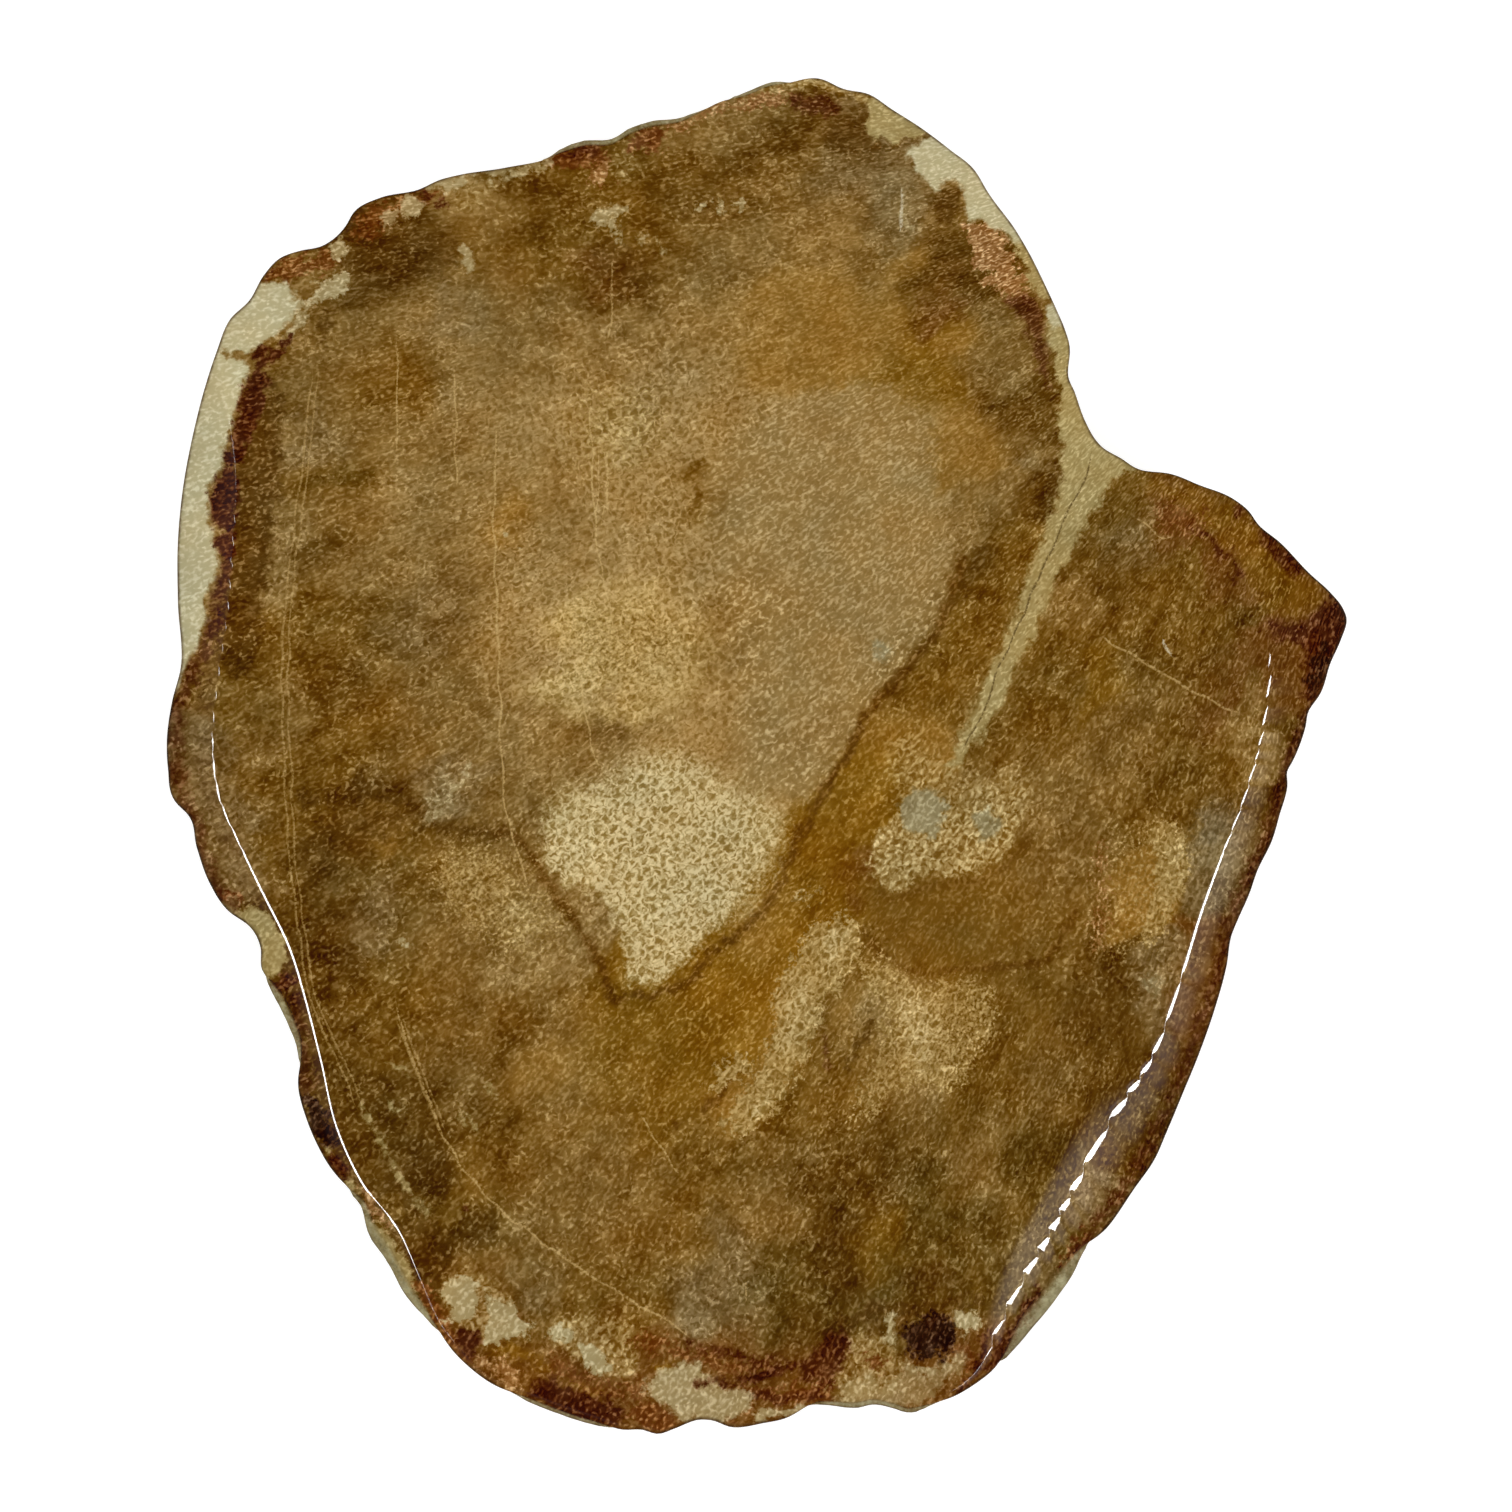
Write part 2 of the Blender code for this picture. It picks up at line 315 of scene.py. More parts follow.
@dataclass(frozen=True)
class SlabShape:
    """The slab's own form: outline, ridges, rim profile, wall relief and back.

    The values are the same as the solid's. The facets, the bow and the wall's crumbling are
    finer than the solid's and stay inside its outline. Directions are in degrees from +X
    towards +Y.

    Attributes:
        ridge_end_gap: Turn that is left free of outline points beyond a ridge's ends.
        edge_break: Width of the broken edge where there is no rim.
        rim_fall: Fall of the rim as a share of its width.
        rim_start_slope: Share of the fall that is a plain slope from the ridge.
        wall_full_by: Share of the wall's height by which proud wall and ribs are full.
        wall_taper: How far the wall draws in down to the back.
        back_edge_break: Width of the broken edge of the back.
        rib_twist: Turn of the ribs' waves from the rim to the back.
        proud_hold: Share of the relief that the proud wall does without.
        proud_full: Height at which a proud wall counts as fully proud.
        proud_wall_at: Direction, half width and height of each proud piece of wall.
        ribs: Number of waves, phase and depth of each set of upright ribs.
        chips: Direction, level, width, share of the height and depth of each chip.
        crumbs: Length, seed, pace up the wall and depth in millimetres of the crumbling.
        crumbs_full_by: Share of the wall's height by which the crumbling is full.
        ripples: Rows of facets.
        sharp: Width of the sharpest crease.
        draw_in: How far a broad crease draws the ridge in, in crease widths.
        shift_share: Largest shift of the ridge, as a share of the rim's width.
        creases: Direction and width of the crease between face and rim.
        bow_from: Direction where the face starts to dip before its ridge.
        bow_to: Direction where the dip is full.
        bow_end: Direction where it has run out.
        bow_width: Width of the dip.
        bow_slope: Its slope at the ridge.
    """

    ridge_end_gap: float = math.radians(1.2)
    edge_break: float = 0.45 * MM
    rim_fall: float = 0.62
    rim_start_slope: float = 0.45
    wall_full_by: float = 0.32
    wall_taper: float = 1.1 * MM
    back_edge_break: float = 0.5 * MM
    rib_twist: float = 0.5
    proud_hold: float = 0.8
    proud_full: float = 0.5 * MM
    proud_wall_at: tuple[tuple[float, float, float], ...] = (
        (102.0, 8.0, 0.7 * MM), (89.5, 3.0, 0.5 * MM), (209.0, 5.0, 0.9 * MM),
        (234.0, 7.0, 1.1 * MM), (253.5, 5.0, 0.6 * MM), (280.0, 6.0, 0.7 * MM),
        (298.0, 5.5, 1.7 * MM),
    )
    ribs: tuple[tuple[float, float, float], ...] = (
        (23, 0.4, 0.40 * MM), (37, 1.9, 0.28 * MM), (57, 0.9, 0.14 * MM),
    )
    chips: tuple[tuple[float, float, float, float, float], ...] = (
        (12.0, 0.35, 4.5 * MM, 0.26, 0.9 * MM), (38.0, 0.50, 5.0 * MM, 0.30, 1.0 * MM),
        (55.0, 0.28, 3.5 * MM, 0.22, 0.8 * MM), (74.0, 0.60, 4.0 * MM, 0.26, 0.8 * MM),
        (97.0, 0.30, 6.0 * MM, 0.24, 1.1 * MM), (118.0, 0.55, 4.0 * MM, 0.28, 0.9 * MM),
        (136.0, 0.32, 5.0 * MM, 0.25, 1.0 * MM), (161.0, 0.45, 4.0 * MM, 0.22, 0.7 * MM),
        (187.0, 0.30, 5.5 * MM, 0.24, 0.9 * MM), (216.0, 0.42, 4.0 * MM, 0.24, 0.8 * MM),
        (243.0, 0.30, 5.0 * MM, 0.25, 1.0 * MM), (266.0, 0.55, 4.5 * MM, 0.26, 0.9 * MM),
        (288.0, 0.28, 4.0 * MM, 0.22, 0.8 * MM), (311.0, 0.40, 5.0 * MM, 0.25, 0.9 * MM),
        (338.0, 0.30, 4.0 * MM, 0.22, 0.7 * MM),
    )
    crumbs: tuple[tuple[float, int, float, float], ...] = (
        (3.2 * MM, 11, 0.6, 0.16), (1.3 * MM, 12, 0.8, 0.09),
    )
    crumbs_full_by: float = 0.12
    ripples: tuple[Ripple, ...] = (
        Ripple(12.8, -12.0, 1.7 * MM, 0.28 * MM, 0.12 * MM),
        Ripple(-25.0, -69.5, 2.8 * MM, 0.13 * MM, 0.90 * MM),
        Ripple(192.0, 154.0, 1.9 * MM, 0.08 * MM, 0.25 * MM),
    )
    sharp: float = 0.012 * MM
    draw_in: float = 1.6
    shift_share: float = 0.4
    creases: tuple[tuple[float, float], ...] = (
        (-69.5, 0.0), (-67.5, 0.28 * MM), (-60.0, 0.34 * MM), (-46.0, 0.30 * MM),
        (-34.0, 0.17 * MM), (-24.0, 0.11 * MM), (-10.0, 0.08 * MM), (10.0, 0.08 * MM),
        (14.0, 0.0), (154.0, 0.0), (160.0, 0.06 * MM), (190.0, 0.09 * MM), (232.0, 0.10 * MM),
        (237.5, 0.0),
    )
    bow_from: float = -33.0
    bow_to: float = -60.0
    bow_end: float = -72.0
    bow_width: float = 2.9 * MM
    bow_slope: float = 0.085

    def proud_wall(self, direction: Array) -> Array:
        """How far the raw wall stands beyond the face: a sum of smooth humps.

        Args:
            direction: Directions in radians.

        Returns:
            The distance in metres.
        """
        proud = np.zeros_like(direction)
        for centre, half_width, height in self.proud_wall_at:
            turn = turn_between(direction, math.radians(centre)) / math.radians(half_width)
            proud += height * np.exp(-turn ** 4)
        return proud

    def face_edge(self, direction: Array, edge: Array) -> Array:
        """Radius where the flat face ends and the rim starts.

        It is a smooth closed curve through the picked ridge points and, on the rest of the way
        round, through the outline's own points drawn in by the proud wall and broken edge.

        Args:
            direction: Directions in radians.
            edge: Radius of the outline in each direction.

        Returns:
            The radius of the ridge in each direction.
        """
        knot_direction, knot_radius = PLAN.polar(OUTLINE_PX)
        knot_radius = knot_radius - self.proud_wall(knot_direction) - self.edge_break
        for ridge_px in (LEFT_RIDGE_PX, RIGHT_RIDGE_PX):
            first, last = PLAN.polar(ridge_px[:1])[0], PLAN.polar(ridge_px[-1:])[0]
            span = turn_between(last, first)
            share = turn_between(knot_direction, first) / span
            margin = self.ridge_end_gap / np.abs(span)
            outside = (share < -margin) | (share > 1.0 + margin)
            ridge_direction, ridge_radius = PLAN.polar(ridge_px)
            knot_direction = np.concatenate((knot_direction[outside], ridge_direction))
            knot_radius = np.concatenate((knot_radius[outside], ridge_radius))
        order = np.argsort(knot_direction)
        ridge = smooth_closed(direction, knot_direction[order], knot_radius[order])
        return np.minimum(ridge, edge - self.proud_wall(direction) - self.edge_break)

    def facets(self, direction: Array, ridge: Array, room: Array) -> tuple[Array, Array]:
        """How the polished facets shift the ridge, and how softly it turns into the rim.

        The softness runs straight from one given direction to the next, times the share that
        each row of facets leaves. A soft ridge is drawn in, so that its bright line stays where
        a sharp one has it.

        Args:
            direction: Directions in radians.
            ridge: Radius of the ridge in each direction.
            room: Width of the rim, which keeps the shift small where the rim is narrow.

        Returns:
            The shift and the softness in metres.
        """
        given, width = np.array(self.creases).T
        crease = np.interp(np.degrees(direction), given % 360.0, width, period=360.0)
        shift = np.zeros_like(direction)
        for ripple in self.ripples:
            offset, share = ripple.at(direction, ridge)
            shift += offset
            crease = crease * share
        shift -= self.draw_in * crease
        most = self.shift_share * room
        return np.clip(shift, -most, most), self.sharp + crease

    def bow(self, direction: Array, inside: Array) -> Array:
        """How far the polished face dips before its ridge: a parabola over the bow's width.

        Args:
            direction: Directions in radians.
            inside: Distance from the ridge towards the middle.

        Returns:
            The dip in metres.
        """
        turn = np.degrees(turn_between(direction, 0.0))
        depth = 1.0 - smooth_step(turn, self.bow_to, self.bow_from)
        depth *= smooth_step(turn, self.bow_end, self.bow_to)
        share = np.clip(1.0 - inside / self.bow_width, 0.0, 1.3)
        return 0.5 * self.bow_slope * self.bow_width * share ** 2 * depth

    def wall_relief(self, direction: Array, step: float, edge: Array, height: Array) -> Array:
        """How far the wall lies inside the outline at one step down.

        It is the sum of the taper, the upright ribs, which deepen away from the rim, the chips
        and, on top, fine crumbling in two sizes. Where the wall stands proud it keeps little of
        its relief, so that the slivers seen from above reach the outline.

        Args:
            direction: Directions in radians.
            step: From 0 at the rim to 1 at the back.
            edge: Radius of the outline in each direction.
            height: Height of the wall at this step.

        Returns:
            The inward distance in metres.
        """
        away = min(step / self.wall_full_by, 1.0)
        relief = np.full_like(direction, self.wall_taper * step ** 2)
        for count, phase, depth in self.ribs:
            wave = np.sin(0.5 * count * direction + phase + self.rib_twist * step)
            relief += away * depth * np.abs(wave)
        for centre, level, width, share, depth in self.chips:
            sideways = turn_between(direction, math.radians(centre)) * edge / width
            upwards = (1.0 - step - level) / share
            relief += depth * np.exp(-sideways ** 4 - upwards ** 2)
        across, up = edge * np.cos(direction), edge * np.sin(direction)
        crumble = sum(np.abs(Swell(length, seed, 14).at(across, up, height * pace)) * depth * MM
                      for length, seed, pace, depth in self.crumbs)
        proud = np.clip(self.proud_wall(direction) / self.proud_full, 0.0, 1.0)
        bare = 1.0 - self.proud_hold * proud
        return (relief + crumble * min(step / self.crumbs_full_by, 1.0)) * bare


@dataclass
class SlabMesh:
    """Closed mesh of the slab, brought to the solid's own box.

    Attributes:
        low: Lowest corner of the solid.
        high: Highest corner of the solid.
        shape: The slab's form.
        face_cells: Cells along each side of the square grid that covers the face.
        back_cells: The same for the back; half as many.
        inside_steps: Steps from the face to the ridge, each with its share of the facets' shift.
        rim_steps: Steps from the ridge over the rim, in crease widths.
        far_rim_steps: Further steps, as shares of what is left of the rim.
        wall_steps: Steps down the wall, as shares of its height.
        back_step: Width of the last ring of the back.
        places: All points of the mesh.
        faces: Corners of each face.
        wall_share: 1 for points of the wall and the back, 0 for polished ones.
        back_share: 1 for points of the back.
    """

    low: Array
    high: Array
    shape: SlabShape = field(default_factory=SlabShape)
    face_cells: int = 224
    back_cells: int = 112
    inside_steps: tuple[tuple[float, float], ...] = (
        (-0.62 * MM, 0.0), (-0.40 * MM, 0.35), (-0.2 * MM, 0.75), (-0.06 * MM, 1.0),
    )
    rim_steps: tuple[float, ...] = (0.0, 0.6, 1.2, 1.9, 2.8, 4.0, 5.6)
    far_rim_steps: tuple[float, ...] = (0.10, 0.24, 0.42, 0.60, 0.76, 0.89, 0.97, 1.0)
    wall_steps: tuple[float, ...] = (0.05, 0.1, 0.16, 0.24, 0.32, 0.42, 0.52, 0.62, 0.72, 0.82,
                                     0.91, 0.97)
    back_step: float = 0.4 * MM
    places: Array = field(init=False)
    faces: list[tuple[int, ...]] = field(init=False)
    wall_share: Array = field(init=False)
    back_share: Array = field(init=False)

    def __post_init__(self) -> None:
        """Work out all places and faces."""
        self.build()

    def grid(self, cells: int) -> tuple[Array, Array, Array, Array]:
        """Square grid laid over a disc without a seam or a pole.

        A point of the square goes to the circle through its larger coordinate, turned by the
        ratio of its two coordinates times an eighth of a turn.

        Args:
            cells: Cells along each side.

        Returns:
            Directions, shares of the radius, the four corners of each cell and the ring of
            indices round the border, counted from minus an eighth of a turn.
        """
        line = np.linspace(-1.0, 1.0, cells + 1)
        across, up = np.meshgrid(line, line, indexing="ij")
        wide = np.abs(across) >= np.abs(up)
        safe_across = np.where(across == 0.0, 1.0, across)
        safe_up = np.where(up == 0.0, 1.0, up)
        eighth = math.pi / 4.0
        steep = 2.0 * eighth - eighth * across / safe_up
        turned = np.where(wide, eighth * up / safe_across, steep)
        behind = np.where(wide, across < 0.0, up < 0.0)
        direction = (turned + math.pi * behind) % math.tau
        share = np.maximum(np.abs(across), np.abs(up))
        at = np.arange((cells + 1) ** 2).reshape(cells + 1, cells + 1)
        corners = np.stack((at[:-1, :-1], at[1:, :-1], at[1:, 1:], at[:-1, 1:]), axis=-1)
        border = np.concatenate((at[-1, :-1], at[:0:-1, -1], at[0, :0:-1], at[:-1, 0]))
        return direction.ravel(), share.ravel(), corners.reshape(-1, 4), border

    def rings(self, direction: Array) -> list[tuple[Array, Array, float, float]]:
        """All rings outside the flat face, down to the back.

        The rim falls by its start slope times the way out, softened by an exponential near the
        ridge, plus the rest of the fall as a quarter of an ellipse. The wall is the outline
        less the proud share and the relief.

        Args:
            direction: Directions of the ring's points.

        Returns:
            For each ring its radius, height, and shares of wall and back.
        """
        shape, top = self.shape, self.high[2]
        edge = smooth_closed(direction, *PLAN.polar(OUTLINE_PX))
        proud = shape.proud_wall(direction)
        ridge = shape.face_edge(direction, edge)
        width = edge - proud - ridge
        shift, crease = shape.facets(direction, ridge, width)
        drop = shape.rim_fall * width
        rings = []
        for step, part in self.inside_steps:
            dip = shape.bow(direction, -step - shift * part)
            rings.append((ridge + shift * part + step, top - dip, 0.0, 0.0))
        foot_of_bow = shape.bow(direction, -shift)
        near_end = np.minimum(crease * self.rim_steps[-1], 0.5 * width)
        outs = [near_end * step / self.rim_steps[-1] for step in self.rim_steps]
        outs += [near_end + (width - near_end) * step for step in self.far_rim_steps]
        for out in outs:
            share = np.clip(out / width, 0.0, 1.0)
            soft = out - crease * (1.0 - np.exp(-out / crease))
            rounding = 1.0 - np.sqrt(1.0 - share ** 2)
            fall = shape.rim_start_slope * soft / width + (1.0 - shape.rim_start_slope) * rounding
            height = top - foot_of_bow * (1.0 - share) - fall * drop
            rings.append((ridge + shift * (1.0 - share) ** 2 + out, height, 0.0, 0.0))
        foot = rings[-1][1]
        for step in self.wall_steps:
            hidden = 1.0 - min(step / shape.wall_full_by, 1.0)
            height = foot * (1.0 - step)
            relief = shape.wall_relief(direction, step, edge, height)
            rings.append((edge - proud * hidden ** 2 - relief, height, 1.0, 0.0))
        last = rings[-1][0]
        rings.append((last - 0.6 * shape.back_edge_break, np.zeros_like(direction), 1.0, 0.0))
        return rings

    def build(self) -> None:
        """Join the face, the rings and the back into one closed mesh."""
        face_direction, face_share, face_quads, face_border = self.grid(self.face_cells)
        ring_direction = face_direction[face_border]
        rings = self.rings(ring_direction)
        count = len(face_border)
        order = np.argsort(ring_direction)
        wrapped = np.concatenate((ring_direction[order], [ring_direction[order[0]] + math.tau]))
        inner = rings[0][0][order]
        inner = np.concatenate((inner, inner[:1]))
        reach = np.interp(face_direction, wrapped, inner)
        face_radius = face_share * reach
        dip = self.shape.bow(face_direction, reach - self.inside_steps[0][0] - face_radius)
        pieces = [(face_radius, face_direction, self.high[2] - dip, 0.0, 0.0)]
        pieces += [(radius, ring_direction, height, wall, back)
                   for radius, height, wall, back in rings[1:]]
        back_direction, back_share, back_quads, back_border = self.grid(self.back_cells)
        last = rings[-1][0][order] - self.back_step
        last = np.concatenate((last, last[:1]))
        back_radius = back_share * np.interp(back_direction, wrapped, last)
        pieces.append((back_radius, back_direction, np.zeros_like(back_radius), 1.0, 1.0))
        flat = [np.column_stack((radius * np.cos(turn), radius * np.sin(turn), height))
                for radius, turn, height, _, _ in pieces]
        self.places = self.fitted(np.concatenate(flat))
        self.wall_share = np.concatenate([np.full(len(p[0]), p[3]) for p in pieces])
        self.back_share = np.concatenate([np.full(len(p[0]), p[4]) for p in pieces])
        start = len(face_radius)
        loops = [face_border] + [start + count * k + np.arange(count) for k in range(len(rings) - 1)]
        back_start = start + count * (len(rings) - 1)
        quads = [face_quads, back_start + back_quads[:, ::-1]]
        for upper, lower in zip(loops, loops[1:]):
            quads.append(np.column_stack((upper, lower, np.roll(lower, -1), np.roll(upper, -1))))
        joint = self.join_halved(loops[-1], back_start + back_border)
        self.faces = np.concatenate(quads).tolist() + joint.tolist()

    def join_halved(self, outer: Array, inner: Array) -> Array:
        """Triangles between a ring and a ring of half as many points inside it.

        Args:
            outer: Indices of the outer ring.
            inner: Indices of the inner ring, which starts in the same direction.

        Returns:
            Three corners a row, facing down.
        """
        first, middle, third = outer[0::2], outer[1::2], np.roll(outer[0::2], -1)
        here, there = inner, np.roll(inner, -1)
        sides = ((first, here, middle), (middle, here, there), (middle, there, third))
        return np.concatenate([np.column_stack(side) for side in sides])

    def fitted(self, places: Array) -> Array:
        """Centre and stretch the plan so that it fills the solid's box.

        Args:
            places: Places to fit.

        Returns:
            The fitted places; their heights stay as they are.
        """
        low, high = places[:, :2].min(axis=0), places[:, :2].max(axis=0)
        room_low, room_high = self.low[:2], self.high[:2]
        share = (places[:, :2] - low) / (high - low)
        return np.column_stack((room_low + share * (room_high - room_low), places[:, 2]))

    def margins(self) -> tuple[Array, Array]:
        """Distance of each point to the outline, and height of the proud wall there.

        Returns:
            Both in millimetres.
        """
        direction = np.arctan2(self.places[:, 1], self.places[:, 0]) % math.tau
        edge = smooth_closed(direction, *PLAN.polar(OUTLINE_PX))
        inside = edge - np.hypot(self.places[:, 0], self.places[:, 1])
        return inside / MM, self.shape.proud_wall(direction) / MM

    def make(self, name: str) -> bpy.types.Object:
        """Put the mesh into the scene.

        Args:
            name: Name of the piece.

        Returns:
            The object, smooth shaded, at the origin.
        """
        mesh = bpy.data.meshes.new(name)
        mesh.from_pydata(self.places.tolist(), [], self.faces)
        mesh.update()
        mesh.shade_smooth()
        mesh.set_sharp_from_angle(angle=math.radians(50.0))
        slab = bpy.data.objects.new(name, mesh)
        bpy.context.scene.collection.objects.link(slab)
        return slab


class Wash(Enum):
    """Broad grounds of the wood: screen colour, how lively the mottling is, share of pores."""

    GOLD = (180, 150, 90, 0.5, 0.95)
    TAN = (151, 120, 68, 0.5, 0.75)
    FAWN = (156, 128, 78, 0.25, 0.6)
    SAND = (137, 107, 57, 0.8, 0.5)
    OCHRE = (147, 109, 48, 0.4, 0.3)
    BROWN = (125, 94, 44, 0.8, 0.35)
    HONEY = (124, 88, 25, 0.7, 0.1)
    AMBER = (140, 101, 32, 0.6, 0.1)
    CALM = (121, 88, 34, 0.3, 0.05)
    OLIVE = (112, 80, 28, 1.0, 0.25)
    UMBER = (97, 67, 21, 1.0, 0.15)
    MOSS = (98, 73, 27, 0.9, 0.25)
    BARK = (84, 56, 16, 0.9, 0.1)
    ASH = (118, 92, 50, 1.0, 0.5)
    STONE = (127, 103, 62, 0.8, 0.6)
    RUSSET = (112, 74, 30, 0.8, 0.2)


@dataclass(frozen=True)
class Stain:
    """Finish of one kind of stain.

    Attributes:
        dark: Screen colour of its pores.
        light: Screen colour between them.
        cells: Share of the round pores, against the fine rays.
        ragged: How far its edge wanders, in millimetres.
        speckle: How far its edge breaks up into flecks, from 0 to 1.
        plain: How far it hides the mottling and the flecks, from 0 to 1.
        dull: How far it takes the polish away, from 0 to 1.
    """

    dark: Colour
    light: Colour
    cells: float
    ragged: float
    speckle: float
    plain: float = 0.0
    dull: float = 0.0


class Tone(Enum):
    """Kinds of stain, in the order in which they lie over each other."""

    FAWN = Stain((140, 111, 61), (183, 155, 105), 0.15, 0.5, 0.2)
    OCHRE = Stain((118, 78, 14), (160, 120, 52), 0.0, 0.5, 0.25)
    SHADE = Stain((78, 50, 12), (112, 80, 36), 0.0, 0.6, 0.3)
    UMBER = Stain((86, 54, 12), (118, 80, 30), 0.0, 0.3, 0.15)
    PALE = Stain((126, 95, 40), (192, 163, 106), 0.75, 0.8, 0.8)
    CREAM = Stain((142, 114, 58), (220, 198, 146), 1.0, 0.5, 0.3, 0.6)
    COLLAR = Stain((119, 86, 32), (205, 180, 125), 0.6, 0.4, 0.25)
    GREY = Stain((140, 126, 88), (176, 163, 124), 0.2, 0.4, 0.3)
    SLATE = Stain((88, 70, 42), (140, 120, 88), 0.2, 0.5, 0.4)
    VEIN = Stain((162, 141, 88), (194, 174, 120), 0.15, 0.45, 0.2, 0.6)
    RUST = Stain((98, 54, 20), (158, 106, 58), 0.1, 0.7, 0.6)
    SALMON = Stain((132, 88, 44), (206, 166, 116), 0.2, 0.8, 0.7)
    RIND = Stain((186, 175, 134), (212, 203, 166), 0.0, 0.3, 0.1, 0.8, 1.0)
    CHIP = Stain((166, 146, 100), (208, 190, 146), 0.0, 0.5, 0.35, 0.6)
    MAROON = Stain((64, 28, 10), (112, 66, 36), 0.0, 0.4, 0.25)
    SOOT = Stain((44, 22, 8), (84, 54, 34), 0.0, 0.6, 0.4)


class LineKind(Enum):
    """Kinds of thin line: screen colour, strength, offset to each side and how broken it is."""

    PALE = ((206, 176, 118), 0.6, 0.0, 0.7)
    TWIN = ((196, 166, 110), 0.5, 0.25, 0.7)
    DARK = ((86, 66, 34), 0.75, 0.0, 0.9)
    SCRATCH = ((214, 204, 178), 0.7, 0.0, 0.5)


def to_path(points: Array, path: Array) -> tuple[Array, Array, Array]:
    """Nearest way from points to a path of straight pieces.

    Each point is dropped on each piece, held between the piece's ends, and the nearest foot
    is kept. The side is the sign of the cross product of the piece and the way to the point.

    Args:
        points: Points, one a row.
        path: Corners of the path, one a row.

    Returns:
        The distance, the side as plus or minus one, and the share of the path up to the foot.
    """
    start, reach = path[:-1], np.diff(path, axis=0)
    length = np.maximum(np.hypot(*reach.T), 1e-9)
    away = points[:, None, :] - start[None]
    along = np.clip((away * reach).sum(axis=2) / length ** 2, 0.0, 1.0)
    gap = away - along[..., None] * reach
    distance = np.hypot(gap[..., 0], gap[..., 1])
    near = distance.argmin(axis=1)
    row = np.arange(len(points))
    cross = reach[near, 0] * away[row, near, 1] - reach[near, 1] * away[row, near, 0]
    before = np.concatenate(([0.0], np.cumsum(length)))
    share = (before[near] + along[row, near] * length[near]) / before[-1]
    return distance[row, near], np.where(cross < 0.0, -1.0, 1.0), share


def rounded(path: Array, closed: bool) -> Array:
    """Round a path by cutting each corner at a quarter of its two sides, twice.

    Args:
        path: Corners of the path.
        closed: Whether the path comes back to its start.

    Returns:
        The rounded path; a closed one ends where it starts.
    """
    for _ in range(2):
        ahead = np.roll(path, -1, axis=0) if closed else path[1:]
        here = path if closed else path[:-1]
        cut = np.stack((0.75 * here + 0.25 * ahead, 0.25 * here + 0.75 * ahead), axis=1)
        cut = cut.reshape(-1, 2)
        path = cut if closed else np.concatenate((path[:1], cut, path[-1:]))
    return np.concatenate((path, path[:1])) if closed else path


def within(places: Array, border: Array, room: float) -> Array:
    """Which places lie in the upright box round a border, widened by some room."""
    return ((places > border.min(axis=0) - room) & (places < border.max(axis=0) + room)).all(axis=1)


@dataclass(frozen=True)
class Patch:
    """One stain, drawn on the view.

    Attributes:
        tone: Kind of stain.
        points: Border of an area, or the middle line of a stroke, in pixels.
        blur: How far its edge fades each way, in pixels.
        strength: How much of the ground it hides, from 0 to 1.
        width: Width of a stroke, in pixels; 0 for an area.
    """

    tone: Tone
    points: Points
    blur: float = 4.0
    strength: float = 1.0
    width: float = 0.0

    def reach(self, places: Array) -> Array:
        """Which points can lie in the stain or its faded edge."""
        border = np.array(self.points, dtype=float)
        return within(places, border, self.width / 2.0 + self.blur * 1.1 + 26.0)

    def inside(self, places: Array) -> Array:
        """Signed distance to the stain's edge, in pixels, positive inside.

        For a stroke it is half the width less the distance to the middle line. For an area
        the sign comes from how often a line to the right crosses the border.

        Args:
            places: Points in pixels.

        Returns:
            The signed distance of each point.
        """
        border = np.array(self.points, dtype=float)
        if self.width:
            if len(border) == 1:
                return self.width / 2.0 - np.hypot(*(places - border[0]).T)
            return self.width / 2.0 - to_path(places, rounded(border, False))[0]
        ring = rounded(border, True)
        distance = to_path(places, ring)[0]
        a, b = ring[:-1], ring[1:]
        x, y = places[:, :1], places[:, 1:]
        spans = (a[:, 1] > y) != (b[:, 1] > y)
        rise = np.where(b[:, 1] == a[:, 1], 1.0, b[:, 1] - a[:, 1])
        crossing = a[:, 0] + (y - a[:, 1]) * (b[:, 0] - a[:, 0]) / rise
        odd = (spans & (x < crossing)).sum(axis=1) % 2 == 1
        return np.where(odd, distance, -distance)


@dataclass(frozen=True)
class Line:
    """One thin line.

    Attributes:
        kind: Kind of line.
        points: Its path in pixels.
        width: Its width in pixels.
    """

    kind: LineKind
    points: Points
    width: float = 2.0


